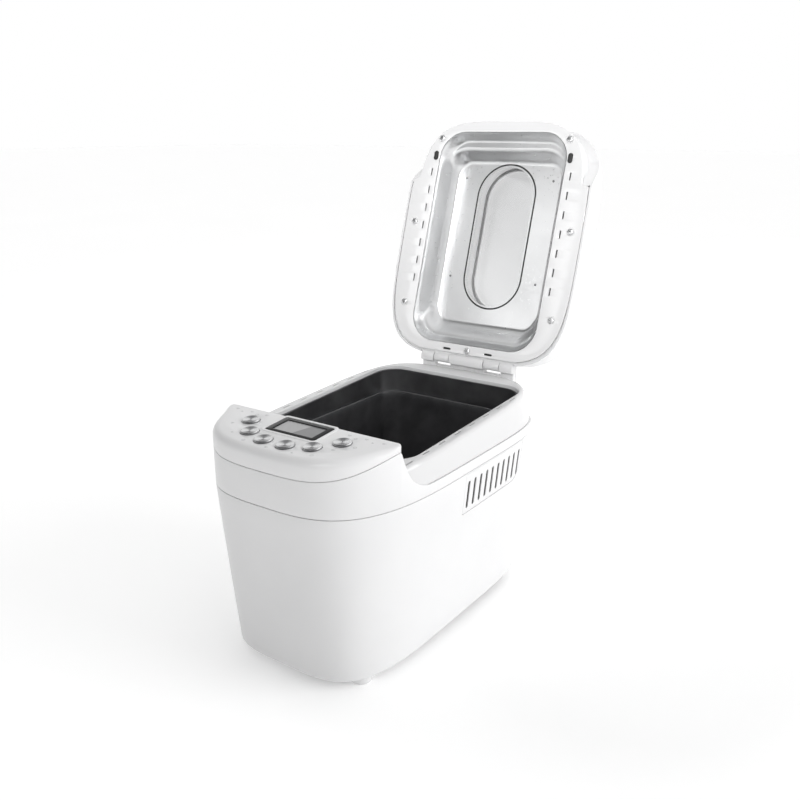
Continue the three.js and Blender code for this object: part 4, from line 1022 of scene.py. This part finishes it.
def make_pan():
    top, bottom = PAN["top"], PAN["bottom"]
    outside = [(24, bottom), (13, bottom), (9, bottom + 1.6), (6.6, bottom + 5), (5.8, bottom + 9),
               (2.4, top - 6.0), (1.6, top - 4.2), (0.3, top - 3.6), (0.0, top - 2.4), (0.4, top - 1.0),
               (1.6, top - 0.4), (2.8, top - 1.0), (3.4, top - 3.0)]
    inside = [(3.9, top - 8.0), (7.3, bottom + 10), (8.2, bottom + 6), (10.6, bottom + 3.0),
              (14.5, bottom + 1.5), (24, bottom + 1.5)]
    size = [PAN[k] for k in ("a", "y0", "y1", "r")]
    obj = rows_object("pan_body", can_rows(size, outside + inside, 0.7, 6.0))
    edit_mesh(obj.data, fill_holes, face_outward)
    carve(obj, [drill(5.4, 60, 100, DRIVE)])
    sleeve = [(20.5, 74.5), (22.5, 74.5), (22.5, bottom + 0.4), (20.5, bottom + 0.4)]
    foot = turned("pan_foot", sleeve, 64, False)
    edit_mesh(foot.data, bridge)
    parts = [obj, make_ear(PAN["y0"], -1), make_ear(PAN["y1"], 1), stand(foot, DRIVE)]
    finish_piece(merged("pan_tub", parts), "nonstick", "pan", ["bread_pan"], 35)


def make_handle():
    """Bent rod folded down to the left, its two ends in the ears."""
    z, reach, rod = PAN["top"] - 9, 85.5, 2
    front, rear = PAN["y0"] - 7, PAN["y1"] + 7
    path = [(0.0, PAN["y0"] - 0.6), (0.0, front + 2.0)]
    bends = ((-2, front + 2, 2, 0), (8 - reach, front + 8, 8, -90), (8 - reach, rear - 8, 8, 180),
             (-2, rear - 2, 2, 90))
    for cx, cy, radius, start in bends:
        path += arc(cx, cy, radius, start, start - 90, 8)[1:]
    path.append((0.0, PAN["y1"] + 0.6))
    rows = []
    for i, (x, y) in enumerate(path):
        back, ahead = path[max(i - 1, 0)], path[min(i + 1, len(path) - 1)]
        side = Vector((ahead[1] - back[1], back[0] - ahead[0])).normalized()
        rows.append([at(x + side.x * across, y + side.y * across, z + up)
                     for across, up in circle(0, 0, rod, 20)])
    obj = rows_object("pan_bail", rows, caps=True)
    finish_piece(obj, "steel", "handle", ["pan_handle"], 50)


def make_paddle():
    """Hub with a blade that gets shorter and thinner towards its top."""
    z, y = PAN["bottom"] + 3.5, DRIVE[1]
    profile = [(4.5, 0), (9.4, 0), (10, 0.6), (9.2, 10), (8.2, 16), (7.4, 19), (6.6, 20), (4.5, 20)]
    hub = turned("paddle_hub", [(r, z + rise) for r, rise in profile], 56, False)
    edit_mesh(hub.data, bridge)
    rows = []
    for f in (k / 12 for k in range(13)):
        half = 3.0 - 1.3 * f
        outline = round_rect(7.2, 44 - 16 * f ** 1.6, y - half, y + half, half * 0.95, 48)
        rows.append(level(outline, z + 0.5 + 29 * f))
    blade = round_edges(rows_object("paddle_blade", rows, caps=True), 0.5, 3, 50)
    paddle = merged("paddle_body", [stand(hub, DRIVE), blade])
    finish_piece(paddle, "nonstick", "paddle", ["kneading_paddle"], 40)


# ------------------------------------------------------------ lid outlines
LID_MATRIX = (Matrix.Translation(at(0, HINGE_Y, HINGE_Z)) @ Matrix.Rotation(LID_ANGLE, 4, "X")
              @ Matrix.Translation(Vector((0, 0, -LID_DROP * MM))))
SHELL_CENTRE, SHELL_HALF = (LID_LENGTH + SHELL_REAR) / 2, (LID_LENGTH - SHELL_REAR) / 2
# Section of the dome: distance in from the rim's outline, and height above it.
DOME = [(0, 0), (0, 9), (0.1, 18), (0.8, 27), (1.8, 34), (3.2, 39.6), (5.4, 44.8), (8.6, 48.1), (12.5, 50.0),
        (18, 51.8), (25, 53.9), (31, 55.8), (35.5, 57.2), (39.5, SHELL_T)]
DOME_LENGTH = sum(math.dist(p, q) for p, q in zip(DOME, DOME[1:]))


def lid(u, w, t):
    """Point of the lid: across, from the hinge towards the front, and above the rim."""
    return LID_MATRIX @ (Vector((u, -w, t)) * MM)


def on_lid(u, w, t):
    """Matrix of a frame square to the lid."""
    return LID_MATRIX @ Matrix.Translation(Vector((u, -w, t)) * MM)


def lid_prism(name, outline, low, high):
    """Solid from an outline of (u, w) points, between two heights above the rim."""
    return rows_object(name, [[lid(u, w, t) for u, w in outline] for t in (low, high)], caps=True)


def lid_outline(a, exponent, rear, n):
    centre, half = (rear + LID_LENGTH) / 2, (LID_LENGTH - rear) / 2
    pts = []
    for i in range(FINE_STEPS):
        q = 2 * math.pi * i / FINE_STEPS
        u, w = power(math.cos(q), 2 / exponent), power(math.sin(q), 2 / exponent)
        pts.append((a * u, centre - half * w))
    return resample(pts, n)


def front_arc(a, exponent, rear, inset, q):
    """Point of a lid outline at an angle q, which turns from right over the front to left."""
    centre, half = (rear + LID_LENGTH) / 2, (LID_LENGTH - rear) / 2
    u, w = power(math.cos(q), 2 / exponent), power(math.sin(q), 2 / exponent)
    return Vector(((a - inset) * u, centre + (half - inset) * w))


def stadium(grow, n=320):
    """Outline of the window, larger by grow all round."""
    a, half = WINDOW_A + grow, WINDOW_HALF + grow
    return round_rect(-a, a, WINDOW_W - half, WINDOW_W + half, a - 0.01, n)[::-1]


def stadium_rows(levels, n=200):
    return [[lid(u, w, t) for u, w in stadium(grow, n)] for grow, t in levels]


def dome_point(length):
    """Inset and height at a distance along the dome's section."""
    run = 0.0
    for p, q in zip(DOME, DOME[1:]):
        step = math.dist(p, q)
        if run + step >= length:
            return between([p], [q], (length - run) / step)[0]
        run += step
    return DOME[-1]


def dome_start(height):
    """Distance along the dome's section at which it reaches a height near the rim."""
    run = 0.0
    for p, q in zip(DOME, DOME[1:]):
        step = math.dist(p, q)
        if q[1] >= height:
            return run + step * (height - p[1]) / (q[1] - p[1])
        run += step
    return run


def grip_rim(w):
    """Height of the shell's rim: it lifts in front of the step to leave a grip on both sides."""
    return 25.0 * smoothstep(LINER_STEP - 6, LINER_STEP + 34, w)


def align(points, target):
    """Turns a closed outline's order so that its points pair with those of another round the same middle."""
    first = min(range(len(points)), key=lambda k: math.dist(points[k], target[0]))
    pairs = points[first:] + points[:first]
    eighth = len(points) // 8
    if math.dist(pairs[eighth], target[eighth]) > math.dist(pairs[-eighth], target[eighth]):
        pairs = [pairs[0]] + pairs[1:][::-1]
    return pairs


def face_along(obj, outward):
    """Flips an open sheet's faces if they don't point the way that outward gives for a face."""
    if sum(outward(p).dot(p.normal) * p.area for p in obj.data.polygons) < 0:
        obj.data.flip_normals()


# ------------------------------------------------------------ lid shell
def shell_inset(point, d):
    """Point of the shell's outline, drawn in towards the middle by d."""
    u, w = point
    return u * (SHELL_A - d) / SHELL_A, SHELL_CENTRE + (w - SHELL_CENTRE) * (SHELL_HALF - d) / SHELL_HALF


def dome_rows(n=360, steps=26):
    """Skin of the dome, from the rim up and in to the edge of the window's hole."""
    base = lid_outline(SHELL_A, SHELL_N, SHELL_REAR, n)
    starts = [dome_start(grip_rim(w)) for _, w in base]
    rows = []
    for f in (k / steps for k in range(steps + 1)):
        row = []
        for point, start in zip(base, starts):
            d, t = dome_point(start + (DOME_LENGTH - start) * f)
            row.append(lid(*shell_inset(point, d), t))
        rows.append(row)
    ring = [shell_inset(point, DOME[-1][0]) for point in base]
    hole = align(stadium(0.2, n), [(drawn_in[0], edge[1]) for drawn_in, edge in zip(ring, base)])
    return rows + [[lid(u, w, SHELL_T) for u, w in between(ring, hole, f)] for f in (0.5, 1.0)]


def make_arm(u0, u1):
    """Hinge arm of the shell, bored for the pin."""
    side_view = [(12.4, 12), (12.4, 30), (19, 38), (26, 47), (24, 52.5), (13, 46.5), (6, 37), (-1, 28),
                 (-4.8, 17), (-6, 8), (-5.4, 3.6), (-3.4, 1.1), (0, 0.1), (3.6, 1.4), (5.9, 4.4)]
    arm = rows_object("arm", [[lid(u, w, t) for w, t in side_view] for u in (u0, u1)], caps=True)
    carve(arm, [drill(2.35, -40, 40, ((u0 + u1) / 2, HINGE_Y, HINGE_Z), "Y", 32)])
    return round_edges(arm, 0.5, 2, 50)


def liner_ledge(steps=220):
    """Ledge inside the shell that the liner's edge rests on, from the step round the rear."""
    rows = []
    for k in range(steps + 1):
        q = math.pi + 0.02 + (math.pi - 0.04) * k / steps
        outer, inner = (front_arc(SHELL_A, SHELL_N, SHELL_REAR, inset, q) for inset in (1.4, 7.5))
        rows.append([lid(*p, t) for p, t in ((outer, 2.6), (inner, 2.6), (inner, 3.8), (outer, 3.8))])
    return rows_object("liner_ledge", rows, caps=True)


def web_section(q):
    """Section of the web at an angle: from the shell in to the liner's edge, with a fillet, and back."""
    edge, inner = (front_arc(LINER_FRONT_A, LID_N, LINER_REAR, inset, q) for inset in (1.6, 3.3))
    out = (edge - inner).normalized()
    rim = grip_rim(edge.y) + 0.3
    shell_rim = grip_rim(front_arc(SHELL_A, SHELL_N, SHELL_REAR, 0.0, q).y) + 0.3
    root = front_arc(SHELL_A, SHELL_N, SHELL_REAR, 1.0 + dome_point(dome_start(shell_rim))[0], q)
    if (root - edge).dot(out) < 0.3:
        root, shell_rim = edge + out * 0.3, rim
    fillet = min(2.5, (root - edge).dot(out) * 0.6, max(rim - 2.7, 0.0) * 0.8)
    points = [(root, shell_rim), (edge + out * fillet, rim)]
    for b in (math.pi / 8 * k for k in range(1, 5)):
        points.append((edge + out * fillet * (1 - math.sin(b)), max(rim, 2.7) - fillet * (1 - math.cos(b))))
    return points + [(edge, 2.5), (inner, 2.5), (inner, rim + 2.2), (root, shell_rim + 2.2)]


def grip_web(steps=150):
    """Shelf from the lifted rim inwards, and a skirt from it down to the front of the liner."""
    first = 0.227
    angles = [first + (math.pi - 2 * first) * k / steps for k in range(steps + 1)]
    return rows_object("grip_web", [[lid(*p, t) for p, t in web_section(q)] for q in angles], caps=True)


def make_lid_shell():
    """Dome with its hinge arms, grip web and liner ledge, and the tunnel between the two windows, lit by a
    painted glow.
    """
    dome = rows_object("lid_dome", dome_rows())
    middle = lid(0, LID_LENGTH / 2, 10)
    face_along(dome, lambda p: p.center - middle)
    thicken(dome, 2.4)
    carve(dome, [lid_prism("hinge_notch", ((-64, -6), (64, -6), (64, 16), (-64, 16)), -10, 34)])
    arms = [make_arm(24, 44), make_arm(-44, -24)]
    low, roof = GLASS_T + 3.2, SHELL_T - 2.2
    levels = ((3.4, low), (3.4, roof), (4.9, roof), (4.9, low))
    tunnel = rows_object("window_tunnel", stadium_rows(levels), loop=True)
    finish_piece(tunnel, "tunnel", "lid", [], 35)
    shell = merged("lid_dome_shell", [dome, *arms, grip_web(), liner_ledge()])
    finish_piece(shell, "white", "lid", ["lid_shell"], 35)


# ------------------------------------------------------------ lid liner and reflector
def liner_outline(n=900):
    """Wide rear and narrower front of the liner, with a straight edge behind the hinge."""
    def turn(p):
        return math.atan2(p[1] - 140, p[0])
    front = [p for p in lid_outline(LINER_FRONT_A, LID_N, LINER_REAR, n) if p[1] > LINER_STEP]
    rear = [p for p in lid_outline(LINER_A, LID_N, LINER_REAR, n) if p[1] <= LINER_STEP]
    front.sort(key=turn)
    rear.sort(key=lambda p: turn(p) if turn(p) > math.pi / 2 else turn(p) + 2 * math.pi)
    return [(u, max(w, 7.2)) if abs(u) < 63.0 and w < 12 else (u, w) for u, w in front[::3] + rear[::3]]


def liner_holes():
    """Reflector opening, two rows of slots, two slots by the hinge, and holes for screws and pads."""
    ref = REFLECTOR
    holes = [round_rect(-ref["a"], ref["a"], ref["w0"], ref["w1"], ref["r"], 160)]
    for side in (-1, 1):
        holes += [slot_outline(side * LID_SLOT_U, LID_SLOT_W + LID_SLOT_PITCH * i, 0.85, 4.6, 4)
                  for i in range(LID_SLOTS)]
        upright = slot_outline(HINGE_SLOT_W, 0, 1.2, 5.4, 4)
        holes.append([(side * HINGE_SLOT_U + along, w) for w, along in upright])
    holes += [circle(u, w, 2.0, 20) for u, w in LID_SCREWS.values()]
    return holes + [circle(side * PAD_U, PAD_W, 2.0, 20) for side in (-1, 1)]


def liner_skirt():
    """Low wall behind the liner's edge, kept clear of the hinge."""
    outline = liner_outline()
    rows = []
    for d, t in ((4.0, 2.0), (4.0, 9.0), (6.0, 9.0), (6.0, 2.0)):
        row = []
        for (u, w), (nu, nw) in zip(outline, inward(outline)):
            inset_w = w + nw * d
            row.append(lid(u + nu * d, max(inset_w, 14.0) if abs(u) < 64 else inset_w, t))
        rows.append(row)
    return rows_object("liner_skirt", rows, loop=True)


def screw_boss(u, w):
    """Raised ring round a screw."""
    section = ((5.0, 0.1), (4.9, -0.35), (4.6, -0.5), (4.3, -0.35), (4.2, 0.1))
    return rows_object("boss", [[lid(*p, t) for p in circle(u, w, r, 40)] for r, t in section], loop=True)


def make_lid_liner():
    """Liner with its skirt and screw bosses, and dark strips behind its slots: painted shade seen through
    them.
    """
    plate = flat_with_holes("liner_plate", liner_outline(), liner_holes(), 2.2, 0.45,
                            lambda u, w, t: lid(u, w, t + 1.1))
    bosses = [screw_boss(u, w) for u, w in LID_SCREWS.values()]
    liner = merged("lid_liner_plate", [plate, liner_skirt()] + bosses)
    finish_piece(liner, "gloss", "lid", ["lid_liner"], 40)
    # Dark strips behind the liner's slots: painted shade.
    shades = []
    for side in (-1, 1):
        for u, half, w0, w1 in ((side * LID_SLOT_U, 1.2, 85, 227), (side * HINGE_SLOT_U, 6, 9.4, 13.0)):
            outline = ((u - half, w0), (u + half, w0), (u + half, w1), (u - half, w1))
            shades.append(lid_prism("shade", outline, 2.3, 2.6))
    finish_piece(merged("lid_slot_shades", shades), "rubber", "lid", [], 40)


def rect_depth(u, w, a, w0, w1, r):
    """Distance inside a rounded rectangle's edge; negative outside."""
    cx, cw = abs(u) - (a - r), abs(w - (w0 + w1) / 2) - ((w1 - w0) / 2 - r)
    return r - math.hypot(max(cx, 0), max(cw, 0)) - min(max(cx, cw), 0)


def tray_depth(u, w):
    """Depth of the reflector: an outer step, and an inner tray with sloping walls."""
    a, w0, w1, r = (REFLECTOR[k] for k in ("a", "w0", "w1", "r"))
    step = rect_depth(u, w, a - 0.5, w0 + 0.5, w1 - 0.5, r)
    # The rear wall is gentler than the side walls, so distances from it count for less.
    pulled = w0 + 0.6 * min(w - w0, 40.0) + max(w - w0 - 40.0, 0.0)
    tray = rect_depth(u, pulled, a - 4, w0 + 6, w1 - 34, r - 4)
    return 12.5 * smoothstep(-1.5, 8.5, step) + 17.0 * smoothstep(-3.0, 12.0, tray)


def reflector_rows(n=360, steps=64):
    """Flange, edge and tray of the reflector, in to the window's hole."""
    def rim(grow):
        a, w0, w1, r = (REFLECTOR[k] for k in ("a", "w0", "w1", "r"))
        return round_rect(-a - grow, a + grow, w0 - grow, w1 + grow, r + grow, n)
    outer = rim(-0.6)
    hole = align(stadium(-2.0, n), outer)
    flange = align(rim(3), outer)
    rows = [[lid(*p, t) for p in edge] for edge, t in ((flange, 3.0), (outer, 2.7), (outer, 0.6))]
    for k in range(1, steps + 1):
        ring = between(outer, hole, (k / steps) ** 1.15)
        rows.append([lid(u, w, 0.6 + tray_depth(u, w)) for u, w in ring])
    return rows


def make_reflector():
    obj = rows_object("reflector_tray", reflector_rows())
    down = (LID_MATRIX.to_3x3() @ Vector((0, 0, -1))).normalized()
    face_along(obj, lambda p: down)
    thicken(obj, 0.8)
    finish_piece(obj, "steel", "lid", ["lid_reflector"], 50)
    head = [(0.2, 0.6), (1.3, 0.5), (1.4, 0.1), (1.2, -0.35), (0.7, -0.6), (0.2, -0.65)]
    rivets = [onto(turned("rivet", head, 24), on_lid(u, w, 30.1)) for u, w in RIVETS]
    finish_piece(merged("reflector_rivets", rivets), "chamber", "lid", [], 50)


# ------------------------------------------------------------ windows, screws, pads, hinge and feet
def make_windows():
    """Rubber gasket and the two panes, from (grow, height) levels of the window's outline."""
    t, s = GLASS_T, SHELL_T
    gasket = rows_object("window_seal", stadium_rows(
        ((-0.6, t - 0.5), (-0.7, t - 1.2), (-0.2, t - 1.9), (1.2, t - 2.1), (2.4, t - 1.7), (5.8, t - 1.6),
         (6.0, t - 1.2), (6.0, t + 2.4), (5.8, t + 2.6), (3.0, t + 2.6), (3.0, t + 2.0), (3.4, t + 1.9),
         (3.4, t - 0.3), (0.0, t - 0.3))), loop=True)
    finish_piece(gasket, "rubber", "lid", ["window_gasket"], 40)
    inner = rows_object("window_pane_inner", stadium_rows(
        ((2.9, t), (3.1, t + 0.2), (3.1, t + 1.4), (2.9, t + 1.6))), caps=True)
    finish_piece(inner, "glass", "lid", ["inner_window"], 40)
    outer = rows_object("window_pane_outer", stadium_rows(
        ((2.8, s - 4.2), (3.0, s - 4.0), (3.0, s - 3.1), (2.8, s - 2.9), (-0.5, s - 2.9), (-0.5, s - 0.5),
         (-0.8, s - 0.2))), caps=True)
    finish_piece(outer, "glass", "lid", ["outer_window"], 40)


def make_screws():
    """Seven equal screws with a cross in the head."""
    profile = [(0.2, 8.8), (1.3, 8.6), (1.5, 8.0), (1.5, -0.4), (3.5, -0.45), (3.6, -0.7), (3.2, -1.05),
               (2.2, -1.28), (0.2, -1.3)]
    base = turned("screw", profile, 40)
    carve(base, [slab("cross", box(a, b), -2.0, 0.9) for a, b in ((1.9, 0.45), (0.45, 1.9))])
    for name, (u, w) in LID_SCREWS.items():
        screw = onto(add_object(f"liner_screw_{name}", base.data.copy()), on_lid(u, w, 0))
        finish_piece(screw, "plated", "lid", [f"lid_screw_{name}"], 40)
    bpy.data.objects.remove(base)


def make_pads():
    """Two long rubber pads on round stems: half width, half length and height of each level."""
    levels = ((0.5, 0.0, 6.0), (1.5, 0.0, 6.0), (1.5, 0.0, -0.3), (2.7, 5.5, -0.3), (2.8, 5.6, -0.6),
              (2.7, 5.5, -1.3), (2.3, 5.1, -1.75), (1.6, 4.4, -1.9))
    for side, name in ((-1, "left"), (1, "right")):
        rows = [[lid(u, w, t) for u, w in slot_outline(side * PAD_U, PAD_W, r, max(half, r + 0.001), 12)]
                for r, half, t in levels]
        pad = rows_object(f"lid_bumper_{name}", rows, caps=True)
        finish_piece(pad, "rubber", "lid", [f"lid_pad_{name}"], 45)


def make_hinge():
    """Bracket behind the deck with three cheeks, and the pin through them."""
    y, z, r = HINGE_Y, HINGE_Z, 6.5
    foot = [(177.3, 200), (182, 200), (y + r, 206)]
    cheek = foot + arc(y, z, r, 0, 180, 20) + [(y - r, 233.4), (177.3, 233.4)]
    bracket = prism_object("hinge_tower", foot + [(y + r, 228), (177.3, 228)], -62, 62)
    cheeks = [prism_object("cheek", cheek, x0, x1) for x0, x1 in ((-62, -45), (-23, 23), (45, 62))]
    round_edges(carve(bracket, cheeks, "UNION"), 0.8)
    finish_piece(bracket, "white", "housing", ["hinge_bracket"], 40)
    rod = [(0.4, -59.5), (1.7, -59.5), (2.0, -59.2), (2.0, 59.2), (1.7, 59.5), (0.4, 59.5)]
    pin = stand(turned("hinge_rod", rod, 32), (0, y, z), "Y")
    finish_piece(pin, "plated", "housing", ["hinge_pin"], 40)


def make_feet():
    profile = [(0.5, 0.4), (6.0, 0.4), (7.0, 0.0), (9.2, 0.0), (10.3, 0.5), (10.9, 1.6), (11.0, 9.6),
               (10.4, 10.4), (4.0, 10.5), (4.0, 13.8), (6.1, 13.8), (5.2, 16.2), (0.5, 16.5)]
    for name, (x, y) in FEET.items():
        foot = stand(turned(f"rubber_foot_{name}", profile, 56), (x, y, 0))
        finish_piece(foot, "white", "housing", [f"foot_{name}"], 40)


def dress_cad_nodes():
    for material, names in CAD_MATERIALS.items():
        for name in names:
            dress(NODES[name].data, material)


def build():
    make_camera()
    make_studio()
    make_lower_housing()
    make_vents()
    make_collar()
    make_deck()
    make_control_panel()
    make_display()
    make_buttons()
    make_marks()
    make_oven()
    make_pan()
    make_handle()
    make_paddle()
    make_lid_shell()
    make_lid_liner()
    make_reflector()
    make_windows()
    make_screws()
    make_pads()
    make_hinge()
    make_feet()
    dress_cad_nodes()


build()
